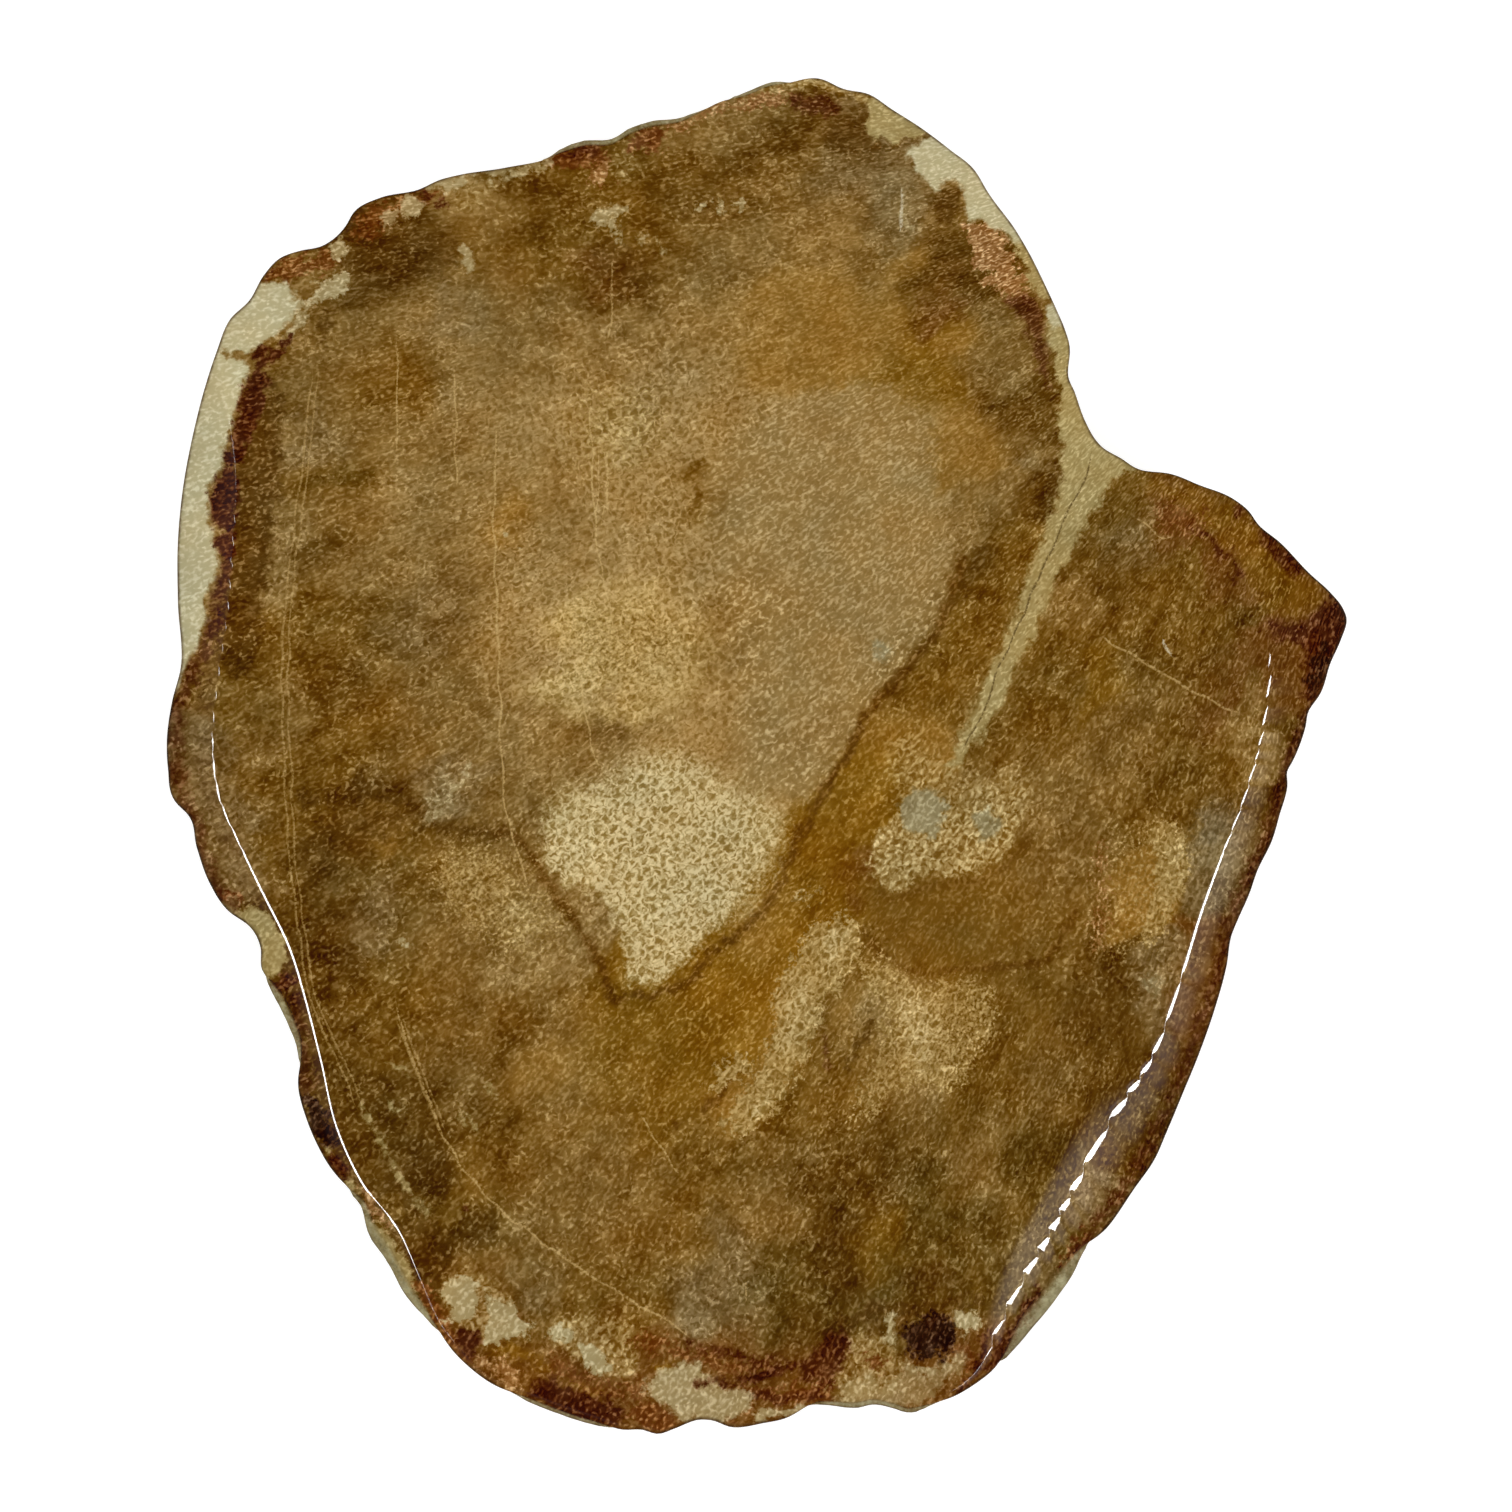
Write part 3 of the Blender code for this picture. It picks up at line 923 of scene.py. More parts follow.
# Soft ground colours: places of each wash as x, y and radius in pixels.
SPOTS: dict[Wash, tuple[tuple[float, float, float], ...]] = {
    Wash.GOLD: ((600, 635, 38), (655, 655, 42), (632, 618, 26), (575, 672, 24)),
    Wash.TAN: ((540, 420, 45), (620, 420, 50), (700, 420, 45), (610, 530, 50), (700, 540, 55),
        (520, 620, 45), (700, 720, 45), (780, 730, 45), (590, 410, 22), (560, 590, 26), (665, 742, 20)),
    Wash.FAWN: ((800, 470, 60), (880, 450, 50), (800, 560, 60), (890, 560, 50), (830, 650, 55)),
    Wash.SAND: ((470, 195, 16), (720, 118, 30), (790, 235, 50), (430, 320, 40), (470, 345, 30),
        (600, 345, 40), (700, 335, 50), (440, 430, 45), (420, 520, 55), (520, 520, 50), (290, 560, 20),
        (740, 640, 40), (510, 730, 30), (620, 740, 26), (540, 940, 30), (900, 1060, 36), (965, 545, 20),
        (285, 440, 16), (535, 960, 22), (985, 1160, 26), (1020, 470, 18), (1075, 590, 16),
        (1250, 760, 14), (885, 1000, 30)),
    Wash.OCHRE: ((780, 310, 45), (850, 330, 45), (820, 350, 40), (955, 450, 32), (1140, 880, 18),
        (790, 1010, 40), (730, 1110, 20), (850, 1000, 18), (805, 1035, 24), (868, 1092, 24),
        (760, 1085, 16), (900, 725, 28), (385, 838, 16), (515, 513, 18), (905, 268, 14), (560, 1060, 24),
        (775, 935, 22), (960, 350, 12)),
    Wash.BROWN: ((888, 245, 30), (330, 300, 40), (400, 290, 40), (700, 230, 45), (350, 350, 40),
        (510, 330, 45), (350, 430, 40), (330, 530, 30), (1010, 470, 24), (430, 620, 45), (290, 720, 24),
        (470, 880, 45), (460, 960, 40), (540, 1040, 45), (640, 1120, 45), (1060, 880, 40),
        (1040, 800, 40), (1120, 720, 45), (760, 1190, 30), (650, 1215, 45), (560, 1210, 50),
        (1045, 1075, 22), (840, 990, 16), (430, 720, 40), (790, 180, 26), (500, 215, 22), (1000, 365, 16),
        (1000, 350, 26), (455, 1040, 36), (1120, 790, 26), (540, 1150, 45), (1250, 700, 14)),
    Wash.HONEY: ((920, 370, 36), (850, 800, 34), (810, 880, 34), (630, 1045, 50), (720, 1000, 40),
        (660, 1110, 30), (875, 1245, 22), (845, 850, 24), (690, 1040, 30), (1100, 680, 20),
        (700, 1080, 26)),
    Wash.AMBER: ((728, 975, 22), (865, 775, 16), (750, 1020, 22), (795, 950, 24)),
    Wash.CALM: ((960, 915, 45), (1010, 925, 45), (925, 905, 30)),
    Wash.OLIVE: ((1000, 1215, 22), (985, 1265, 20), (960, 640, 32), (905, 690, 26), (1075, 640, 16),
        (700, 1180, 44), (500, 1150, 40), (550, 225, 45), (640, 215, 45), (340, 640, 36), (345, 730, 36),
        (1005, 560, 28), (250, 700, 26), (290, 820, 30), (410, 850, 36), (390, 1020, 40), (820, 1090, 45),
        (1050, 720, 40), (1200, 760, 45), (1110, 620, 40), (1180, 620, 40), (1130, 535, 36),
        (1140, 800, 36), (1010, 1010, 45), (980, 1110, 50), (540, 1300, 36), (640, 1290, 40),
        (400, 370, 22), (410, 390, 18), (330, 480, 18), (1035, 665, 18), (1040, 1010, 24), (860, 960, 20),
        (470, 1200, 36), (700, 485, 10)),
    Wash.UMBER: ((935, 282, 26), (740, 160, 40), (690, 200, 26), (535, 205, 26), (1025, 400, 28),
        (975, 575, 24), (350, 840, 36), (335, 1045, 24), (310, 920, 30), (315, 980, 24), (380, 1130, 40),
        (460, 1130, 30), (1090, 1020, 36), (1075, 1125, 36), (860, 1160, 45), (1060, 580, 14),
        (345, 690, 18), (320, 545, 14), (508, 1040, 16), (1110, 595, 20), (1200, 675, 20),
        (825, 1010, 20), (1270, 790, 24), (615, 290, 22), (820, 1205, 20), (1110, 970, 16),
        (1250, 600, 16)),
    Wash.MOSS: ((930, 1230, 50), (1020, 1190, 45), (1000, 1270, 40), (890, 1300, 36), (810, 1310, 36),
        (775, 1285, 26), (1040, 1160, 22), (390, 880, 30), (345, 475, 12)),
    Wash.BARK: ((1046, 480, 14), (985, 570, 16), (365, 795, 14), (425, 1165, 18), (470, 1228, 14),
        (430, 1265, 22), (845, 1252, 30), (315, 950, 20), (920, 1282, 14), (380, 255, 30),
        (360, 275, 16)),
    Wash.ASH: ((892, 215, 20), (860, 165, 26), (305, 440, 22), (195, 740, 28), (230, 840, 28),
        (375, 915, 16), (540, 1290, 20), (1240, 850, 24), (1160, 985, 20), (430, 615, 30),
        (1130, 545, 18), (720, 1300, 36), (730, 1240, 20), (370, 900, 22), (440, 790, 26),
        (1030, 1270, 20)),
    Wash.STONE: ((435, 795, 20), (700, 1318, 16), (530, 1298, 18), (1020, 465, 10), (1090, 1180, 16),
        (1215, 835, 18), (450, 320, 20)),
    Wash.RUSSET: ((613, 275, 18), (945, 300, 14), (1220, 690, 26), (1165, 517, 20), (480, 1340, 40),
        (580, 1370, 36), (700, 1370, 40), (800, 1370, 40), (900, 1370, 30), (980, 1340, 34),
        (1200, 985, 24), (1228, 572, 16), (1290, 650, 28), (855, 872, 12)),
}


PATCHES: tuple[Patch, ...] = (
    # Heart of the wood.
    Patch(Tone.FAWN, ((700, 470), (720, 450), (760, 418), (800, 396), (850, 384), (882, 381), (910, 398),
        (930, 420), (936, 460), (935, 520), (945, 560), (948, 600), (935, 630), (915, 650), (895, 680),
        (874, 705), (856, 735), (835, 770), (815, 800), (770, 800), (735, 780), (725, 740), (740, 700),
        (735, 640), (720, 580), (705, 520)), 12, 0.85),
    Patch(Tone.OCHRE, ((932, 640), (960, 600), (1000, 530), (1040, 470), (1052, 470), (1045, 520),
        (1018, 600), (990, 660), (962, 720), (936, 760), (895, 780), (880, 810), (865, 840), (858, 880),
        (850, 905), (820, 940), (800, 965), (765, 1005), (740, 1035), (700, 1060), (650, 1050),
        (625, 1008), (665, 1000), (700, 975), (720, 955), (745, 935), (765, 910), (785, 880), (800, 850),
        (815, 820), (845, 770), (870, 715), (900, 685), (915, 660)), 11, 0.06),
    Patch(Tone.CREAM, ((540, 815), (543, 840), (545, 862), (558, 880), (578, 886), (603, 899), (618, 921),
        (624, 949), (626, 972), (636, 984), (656, 980), (676, 972), (692, 956), (708, 936), (728, 920),
        (738, 895), (735, 850), (700, 815), (640, 800), (580, 800)), 10, 1.0),
    Patch(Tone.CREAM, ((546, 796), (600, 784), (640, 760), (665, 748), (710, 768), (735, 788), (768, 804),
        (786, 820), (780, 855), (760, 890), (734, 918), (700, 932), (640, 930), (600, 880),
        (556, 840)), 24, 0.95),
    Patch(Tone.PALE, ((575, 390), (610, 375), (650, 385), (672, 420), (660, 460), (620, 475), (580, 465),
        (560, 430)), 34, 0.55),
    Patch(Tone.PALE, ((560, 600), (620, 585), (690, 600), (715, 650), (700, 700), (640, 720), (580, 700),
        (548, 650)), 40, 0.45),
    Patch(Tone.SHADE, ((568, 735), (578, 718), (600, 711), (622, 720), (634, 738), (612, 750),
        (590, 748)), 12, 0.22),
    Patch(Tone.SHADE, ((302, 800), (340, 796), (372, 795), (418, 808), (447, 830),
        (493, 832)), 9, 0.6, 15),
    Patch(Tone.UMBER, ((498, 832), (518, 838), (535, 861), (547, 882), (562, 905), (582, 930), (600, 962),
        (612, 1001)), 5, 0.8, 10),
    Patch(Tone.GREY, ((444, 792),), 20, 0.22, 34),
    Patch(Tone.CHIP, ((427, 818), (436, 802)), 3, 0.5, 5),
    Patch(Tone.CHIP, ((444, 806), (452, 786)), 3, 0.5, 5),
    Patch(Tone.CHIP, ((457, 788), (466, 768)), 3, 0.5, 5),
    Patch(Tone.PALE, ((435, 862), (455, 842), (490, 842), (515, 858), (540, 890), (565, 925), (550, 950),
        (510, 955), (475, 935), (445, 915), (430, 885)), 26, 0.62),
    Patch(Tone.SHADE, ((300, 830), (340, 805), (390, 800), (420, 815), (400, 835), (370, 850), (340, 880),
        (310, 900)), 22, 0.5),
    Patch(Tone.UMBER, ((962, 560), (950, 600), (938, 634), (922, 646), (902, 676), (877, 699), (864, 720),
        (851, 747), (841, 765), (830, 782), (818, 804), (804, 826), (793, 849), (783, 875), (770, 900),
        (753, 920), (735, 938), (715, 949), (701, 969), (684, 987), (661, 992), (643, 998), (629, 996),
        (612, 1000)), 5, 0.8, 9),
    Patch(Tone.UMBER, ((862, 930), (880, 955), (900, 966), (929, 973), (986, 967), (1030, 965),
        (1049, 958)), 5, 0.8, 6),
    Patch(Tone.UMBER, ((880, 892), (895, 900), (915, 889), (950, 884), (985, 880), (1010, 866),
        (1028, 838)), 7, 0.35, 7),
    # Vein and the collar below it.
    Patch(Tone.VEIN, ((1062, 480), (1055, 500), (1041, 542), (1026, 575), (1013, 620), (990, 666),
        (976, 702), (959, 740), (946, 774), (955, 771), (972, 747), (988, 726), (1003, 702), (1017, 666),
        (1033, 640), (1040, 618), (1048, 595), (1061, 568), (1075, 547), (1089, 520), (1106, 489),
        (1115, 476), (1100, 460), (1075, 460)), 6, 0.9),
    Patch(Tone.VEIN, ((1072, 515), (1050, 562), (1030, 605), (1016, 645), (998, 682),
        (980, 715)), 9, 0.5, 24),
    Patch(Tone.VEIN, ((1145, 462), (1128, 472), (1112, 482), (1100, 500), (1070, 492), (1061, 470),
        (1060, 440), (1059, 400), (1058, 370), (1052, 340), (1044, 318), (1070, 305), (1090, 350),
        (1090, 392), (1105, 420), (1125, 445)), 5, 0.95),
    Patch(Tone.COLLAR, ((893, 812), (880, 829), (867, 850), (870, 873), (886, 890), (903, 891),
        (917, 880), (931, 872), (945, 874), (959, 877), (976, 872), (992, 866), (1009, 849), (1020, 830),
        (1028, 808), (1000, 800), (960, 805), (925, 800)), 4, 0.95),
    Patch(Tone.CREAM, ((872, 854), (876, 872), (889, 885), (902, 885), (914, 875), (930, 866), (942, 868),
        (959, 871), (974, 866), (989, 860), (1004, 845), (1013, 828)), 3, 0.6, 8),
    Patch(Tone.COLLAR, ((893, 810), (888, 770), (893, 738), (915, 732), (935, 762), (975, 778),
        (1010, 768), (1035, 778), (1033, 800), (1015, 835), (960, 850), (910, 840)), 18, 0.6),
    Patch(Tone.GREY, ((923, 813),), 6, 0.9, 46),
    Patch(Tone.GREY, ((987, 824),), 6, 0.8, 28),
    Patch(Tone.GREY, ((882, 652),), 7, 0.8, 18),
    Patch(Tone.GREY, ((1152, 984),), 6, 0.7, 20),
    # Mottled fields right of the heart and below it.
    Patch(Tone.PALE, ((806, 931), (820, 922), (833, 915), (850, 915), (861, 934), (861, 955), (847, 976),
        (833, 990), (823, 1014), (812, 1038), (806, 1066), (788, 1086), (781, 1110), (764, 1121),
        (742, 1140), (719, 1126), (730, 1107), (743, 1093), (754, 1072), (761, 1059), (774, 1031),
        (771, 1003), (778, 983), (792, 962), (800, 948)), 6, 0.9),
    Patch(Tone.PALE, ((709, 1083), (723, 1062), (743, 1052), (755, 1060), (735, 1083),
        (714, 1094)), 4, 0.85),
    Patch(Tone.PALE, ((878, 952), (895, 968), (916, 980), (950, 982), (985, 975), (1000, 1010),
        (985, 1050), (957, 1092), (930, 1086), (895, 1093), (881, 1107), (864, 1124), (847, 1119),
        (857, 1093), (868, 1066), (878, 1038), (888, 1014), (878, 1000), (861, 990), (855, 974),
        (864, 960)), 9, 0.62),
    Patch(Tone.CREAM, ((822, 935), (840, 922), (850, 940), (838, 960), (820, 962)), 8, 0.5),
    Patch(Tone.CREAM, ((745, 1115), (768, 1088), (776, 1098), (758, 1122)), 6, 0.5),
    Patch(Tone.CREAM, ((790, 985), (815, 980), (805, 1030), (785, 1060), (770, 1050)), 9, 0.35),
    Patch(Tone.CREAM, ((892, 990), (935, 990), (950, 1040), (925, 1075), (895, 1060)), 14, 0.3),
    Patch(Tone.SHADE, ((875, 1010), (862, 1040), (848, 1066)), 5, 0.45, 8),
    Patch(Tone.PALE, ((1098, 806), (1112, 823), (1138, 826), (1187, 823), (1187, 895), (1175, 923),
        (1152, 952), (1107, 969), (1078, 943), (1084, 915), (1089, 877), (1112, 843)), 13, 0.22),
    Patch(Tone.PALE, ((1138, 824), (1187, 820), (1190, 870), (1180, 912), (1152, 944), (1128, 952),
        (1132, 900)), 8, 0.75),
    Patch(Tone.PALE, ((1135, 925), (1172, 915), (1160, 945), (1130, 955)), 7, 0.6),
    Patch(Tone.SALMON, ((1100, 850), (1104, 890), (1098, 940)), 10, 0.4, 18),
    Patch(Tone.UMBER, ((1049, 955), (1062, 938), (1074, 915)), 6, 0.6, 8),
    Patch(Tone.SLATE, ((1190, 822), (1205, 798), (1235, 795), (1248, 812), (1235, 835), (1220, 850),
        (1195, 850)), 12, 0.22),
    Patch(Tone.UMBER, ((743, 1068), (724, 1090), (705, 1108)), 4, 0.8, 8),
    Patch(Tone.MAROON, ((826, 1040), (828, 1066)), 4, 0.3, 6),
    Patch(Tone.UMBER, ((678, 1127),), 4, 0.7, 9),
    Patch(Tone.PALE, ((801, 900), (818, 886)), 6, 0.7, 7),
    # Right lobe.
    Patch(Tone.OCHRE, ((1140, 472), (1200, 490), (1248, 514), (1285, 550), (1320, 585), (1335, 600),
        (1300, 618), (1268, 615), (1250, 590), (1235, 558), (1215, 532), (1190, 512),
        (1150, 495)), 10, 0.45),
    Patch(Tone.RUST, ((1150, 500), (1200, 505), (1215, 530), (1190, 545), (1160, 530)), 16, 0.55),
    Patch(Tone.MAROON, ((1195, 528), (1210, 538), (1232, 563), (1240, 578)), 6, 0.75, 8),
    Patch(Tone.MAROON, ((1258, 528), (1275, 535), (1300, 560), (1310, 575), (1296, 575), (1275, 560),
        (1260, 545)), 7, 0.85),
    Patch(Tone.MAROON, ((1240, 512),), 6, 0.8, 14),
    Patch(Tone.MAROON, ((1262, 618), (1300, 628), (1330, 600), (1350, 595), (1355, 620), (1348, 645),
        (1332, 670), (1322, 702), (1306, 708), (1304, 680), (1306, 650), (1290, 640),
        (1268, 635)), 8, 0.95),
    Patch(Tone.SOOT, ((1315, 642), (1334, 648), (1332, 668), (1322, 695), (1310, 692),
        (1308, 665)), 7, 0.8),
    Patch(Tone.RUST, ((1339, 616), (1337, 646)), 4, 0.8, 7),
    # Dark maroon strip on the steep outer part of the right rim: the stone's dark red rim, and also
    # painted shade where the rim falls away.
    Patch(Tone.MAROON, ((1326, 680), (1312, 705), (1302, 725), (1288, 768), (1280, 795), (1270, 832),
        (1250, 878), (1235, 912), (1225, 948), (1213, 992), (1194, 1042), (1176, 1088), (1158, 1128),
        (1146, 1155), (1124, 1190), (1100, 1222), (1080, 1248)), 10, 0.8, 12),
    Patch(Tone.RUST, ((1085, 1240), (1066, 1268)), 6, 0.8, 12),
    Patch(Tone.RIND, ((1080, 1272), (1064, 1278), (1047, 1298), (1027, 1325), (1010, 1350), (1018, 1368),
        (1044, 1344), (1066, 1312), (1090, 1275)), 4, 0.85),
    Patch(Tone.MAROON, ((1042, 1286), (1030, 1290), (1010, 1330), (990, 1355), (985, 1376), (1000, 1370),
        (1018, 1345), (1038, 1316)), 7, 0.9),
    # Pale rind at the left, its dark border and the band behind it.
    Patch(Tone.RIND, ((222, 352), (240, 360), (250, 366), (250, 375), (244, 385), (240, 395), (235, 415),
        (229, 435), (224, 455), (226, 462), (220, 472), (213, 480), (208, 490), (206, 500), (208, 520),
        (210, 529), (222, 524), (213, 538), (216, 550), (220, 565), (215, 575), (210, 590), (203, 600),
        (203, 612), (208, 622), (203, 635), (196, 645), (190, 655), (185, 670), (176, 695), (160, 690),
        (160, 640), (160, 540), (166, 470), (180, 400), (200, 345)), 3.5, 1.0),
    Patch(Tone.RIND, ((259, 285), (272, 282), (290, 284), (294, 296), (303, 304), (292, 317), (284, 330),
        (270, 338), (258, 348), (245, 354), (222, 352), (200, 345), (215, 318), (235, 298)), 3.5, 0.95),
    Patch(Tone.CHIP, ((310, 300), (314, 288), (328, 276), (345, 272), (353, 276), (345, 290), (336, 302),
        (322, 300)), 3.5, 0.9),
    Patch(Tone.CHIP, ((303, 305), (300, 318), (292, 332), (284, 342)), 4, 0.75, 9),
    Patch(Tone.CHIP, ((333, 240), (345, 240), (350, 250), (340, 262), (330, 250)), 3.5, 0.8),
    Patch(Tone.MAROON, ((246, 358), (262, 352), (276, 344), (290, 340)), 3, 0.85, 5),
    Patch(Tone.SHADE, ((262, 372), (280, 375), (284, 430), (276, 500), (270, 560), (262, 620), (255, 670),
        (240, 684), (224, 670), (214, 640), (216, 600), (226, 560), (232, 520), (228, 480), (238, 430),
        (248, 395)), 8, 0.7),
    Patch(Tone.MAROON, ((275, 352), (262, 362), (256, 374), (247, 394), (241, 415), (235, 440),
        (231, 462), (222, 480), (216, 495)), 4, 0.85, 11),
    Patch(Tone.MAROON, ((262, 364), (268, 374), (264, 400), (256, 430), (242, 460), (230, 464),
        (226, 452), (236, 420), (243, 394), (251, 376)), 4, 0.85),
    Patch(Tone.MAROON, ((227, 462), (236, 470), (240, 500), (236, 528), (222, 529), (212, 526),
        (207, 505), (212, 488), (220, 474)), 3.5, 0.95),
    Patch(Tone.MAROON, ((214, 534), (232, 530), (236, 552), (226, 562), (217, 552)), 3.5, 0.95),
    Patch(Tone.MAROON, ((228, 566), (222, 588), (216, 606), (216, 622), (208, 642), (199, 660),
        (189, 684), (178, 705)), 6, 0.65, 14),
    Patch(Tone.SLATE, ((187, 603),), 4, 0.9, 11),
    # Dark maroon strip on the steep outer part of the left rim: the stone's dark red rim, and also
    # painted shade where the rim falls away.
    Patch(Tone.MAROON, ((176, 708), (173, 745), (178, 790), (193, 815), (200, 850), (213, 884),
        (232, 904)), 9, 0.6, 14),
    # Lower left rim and the raw wall beside it.
    Patch(Tone.RUST, ((226, 897), (242, 903)), 4, 0.8, 8),
    Patch(Tone.VEIN, ((220, 895), (230, 905), (245, 908), (255, 910), (268, 916), (279, 926), (284, 945),
        (286, 960), (280, 970), (268, 978), (255, 988), (245, 960), (240, 930), (222, 918),
        (208, 900)), 4, 0.9),
    Patch(Tone.SHADE, ((270, 938), (282, 938)), 3, 0.8, 4),
    Patch(Tone.SHADE, ((270, 955), (284, 954)), 3, 0.8, 4),
    Patch(Tone.MAROON, ((266, 985), (286, 972), (303, 985), (276, 992)), 4, 0.9),
    Patch(Tone.VEIN, ((267, 990), (279, 1015), (289, 1046)), 4, 0.85, 10),
    Patch(Tone.MAROON, ((294, 1000), (300, 1040), (307, 1090)), 7, 0.6, 16),
    Patch(Tone.SOOT, ((300, 1096), (318, 1094), (330, 1113), (340, 1146), (328, 1152), (313, 1136),
        (300, 1115)), 6, 0.9),
    Patch(Tone.VEIN, ((327, 1152),), 4, 0.9, 11),
    Patch(Tone.MAROON, ((334, 1160), (342, 1174)), 5, 0.9, 12),
    Patch(Tone.VEIN, ((345, 1180), (352, 1192)), 4, 0.8, 9),
    Patch(Tone.SALMON, ((360, 1196), (382, 1220)), 6, 0.6, 14),
    Patch(Tone.VEIN, ((360, 1212), (378, 1222), (395, 1240), (408, 1262), (416, 1285), (425, 1305),
        (432, 1328), (412, 1322), (392, 1292), (372, 1258), (352, 1230)), 5, 0.9),
    Patch(Tone.VEIN, ((362, 1105), (372, 1125), (385, 1148), (395, 1165), (402, 1178), (412, 1195),
        (420, 1205), (430, 1205), (425, 1215)), 4, 0.6, 5),
    Patch(Tone.VEIN, ((385, 1062), (410, 1070)), 3, 0.6, 5),
    Patch(Tone.VEIN, ((486, 1084), (497, 1094)), 3, 0.6, 5),
    Patch(Tone.VEIN, ((463, 1119), (478, 1133)), 3, 0.6, 5),
    Patch(Tone.VEIN, ((391, 1106), (400, 1109)), 3, 0.6, 5),
    Patch(Tone.MAROON, ((465, 1210),), 4, 0.8, 10),
    Patch(Tone.SHADE, ((405, 1190), (430, 1235), (445, 1290)), 14, 0.6, 24),
    # Bottom band.
    Patch(Tone.COLLAR, ((437, 1275), (480, 1268), (515, 1296), (522, 1330), (482, 1348),
        (445, 1318)), 6, 0.55),
    Patch(Tone.COLLAR, ((545, 1322), (590, 1312), (632, 1328), (642, 1358), (626, 1384), (590, 1370),
        (560, 1350)), 6, 0.6),
    Patch(Tone.COLLAR, ((790, 1360), (830, 1345), (862, 1328), (885, 1340), (905, 1362), (900, 1390),
        (870, 1402), (820, 1402)), 7, 0.5),
    Patch(Tone.CHIP, ((439, 1290), (457, 1270), (476, 1281), (481, 1296), (473, 1315), (461, 1322),
        (443, 1324), (451, 1313), (447, 1299)), 3.5, 0.95),
    Patch(Tone.CHIP, ((482, 1292), (501, 1298), (523, 1315), (534, 1324), (531, 1334), (514, 1340),
        (495, 1343), (481, 1348), (482, 1337), (487, 1324), (492, 1312)), 3.5, 0.95),
    Patch(Tone.CHIP, ((547, 1331), (557, 1323), (568, 1324), (579, 1337), (589, 1345), (607, 1356),
        (620, 1374), (607, 1371), (595, 1374), (586, 1365), (582, 1349), (567, 1340),
        (551, 1337)), 3.5, 1.0),
    Patch(Tone.COLLAR, ((570, 1320), (600, 1315), (625, 1318), (637, 1332), (620, 1345),
        (595, 1342)), 7, 0.6),
    Patch(Tone.RUST, ((555, 1362), (585, 1382), (620, 1394), (640, 1388)), 8, 0.6, 16),
    Patch(Tone.OCHRE, ((490, 1350), (523, 1352), (545, 1366)), 6, 0.6, 12),
    Patch(Tone.OCHRE, ((570, 1385), (600, 1392)), 6, 0.6, 12),
    Patch(Tone.MAROON, ((455, 1326), (480, 1330), (478, 1350), (470, 1362), (458, 1345)), 5, 0.9),
    Patch(Tone.RUST, ((420, 1285), (439, 1315), (454, 1342), (467, 1361)), 5, 0.85, 12),
    Patch(Tone.SALMON, ((478, 1362), (500, 1366), (515, 1380)), 7, 0.7, 16),
    Patch(Tone.MAROON, ((535, 1377), (560, 1380), (576, 1392), (600, 1398), (625, 1410), (625, 1430),
        (590, 1425), (555, 1412), (530, 1396)), 7, 0.9),
    Patch(Tone.RUST, ((625, 1405), (650, 1400), (675, 1412), (680, 1430), (640, 1434)), 7, 0.85),
    Patch(Tone.CHIP, ((640, 1388), (655, 1374), (678, 1362), (699, 1362), (714, 1380), (738, 1390),
        (756, 1392), (748, 1410), (728, 1422), (700, 1424), (678, 1416), (660, 1404)), 5, 0.8),
    Patch(Tone.OCHRE, ((656, 1370), (680, 1364)), 4, 0.8, 8),
    Patch(Tone.RUST, ((640, 1340), (670, 1350), (700, 1360), (740, 1366), (765, 1366)), 8, 0.6, 18),
    Patch(Tone.MAROON, ((690, 1345), (720, 1350), (750, 1362), (777, 1359)), 6, 0.5, 10),
    Patch(Tone.MAROON, ((700, 1381), (732, 1386), (764, 1375), (790, 1365)), 5, 0.85, 9),
    Patch(Tone.MAROON, ((806, 1356), (829, 1333), (848, 1327), (848, 1359), (838, 1378), (822, 1385),
        (803, 1381), (796, 1369)), 7, 0.8),
    Patch(Tone.SHADE, ((829, 1333), (855, 1318), (880, 1308), (899, 1312), (925, 1308), (957, 1303),
        (980, 1301)), 7, 0.85, 14),
    Patch(Tone.RUST, ((748, 1392), (785, 1398), (829, 1394)), 6, 0.9, 18),
    Patch(Tone.MAROON, ((760, 1396), (800, 1400), (826, 1390)), 5, 0.6, 8),
    Patch(Tone.RUST, ((736, 1420), (750, 1408)), 4, 0.8, 8),
    Patch(Tone.CHIP, ((760, 1416), (802, 1411)), 4, 0.8, 9),
    Patch(Tone.CHIP, ((835, 1392), (850, 1376), (868, 1368), (885, 1385), (906, 1362), (922, 1378),
        (944, 1359), (964, 1349), (967, 1369), (944, 1388), (925, 1404), (905, 1412), (880, 1408),
        (835, 1410)), 7, 0.4),
    Patch(Tone.CHIP, ((910, 1364), (930, 1378), (955, 1358)), 4, 0.7, 8),
    Patch(Tone.RUST, ((867, 1349), (880, 1352), (890, 1366), (880, 1378), (868, 1366)), 6, 0.7),
    Patch(Tone.CHIP, ((888, 1314), (892, 1328), (888, 1342)), 4, 0.8, 9),
    Patch(Tone.CHIP, ((948, 1316), (962, 1310), (978, 1314), (984, 1326), (972, 1337),
        (958, 1330)), 4, 0.9),
    Patch(Tone.SOOT, ((903, 1324), (925, 1317), (944, 1314), (957, 1333), (954, 1349), (938, 1359),
        (919, 1359), (906, 1349)), 7, 0.95),
    Patch(Tone.RUST, ((958, 1350), (972, 1356), (968, 1378)), 5, 0.8, 12),
    Patch(Tone.MAROON, ((985, 1330), (982, 1356), (974, 1380), (958, 1394)), 4, 0.9, 7),
    Patch(Tone.SALMON, ((992, 1366), (1010, 1352)), 4, 0.7, 12),
    Patch(Tone.UMBER, ((421, 1280), (430, 1305), (440, 1328)), 4, 0.8, 4),
    # Top edge.
    Patch(Tone.SHADE, ((345, 262), (360, 240), (400, 232), (450, 228), (462, 246), (455, 272), (420, 285),
        (370, 290), (348, 280)), 12, 0.35),
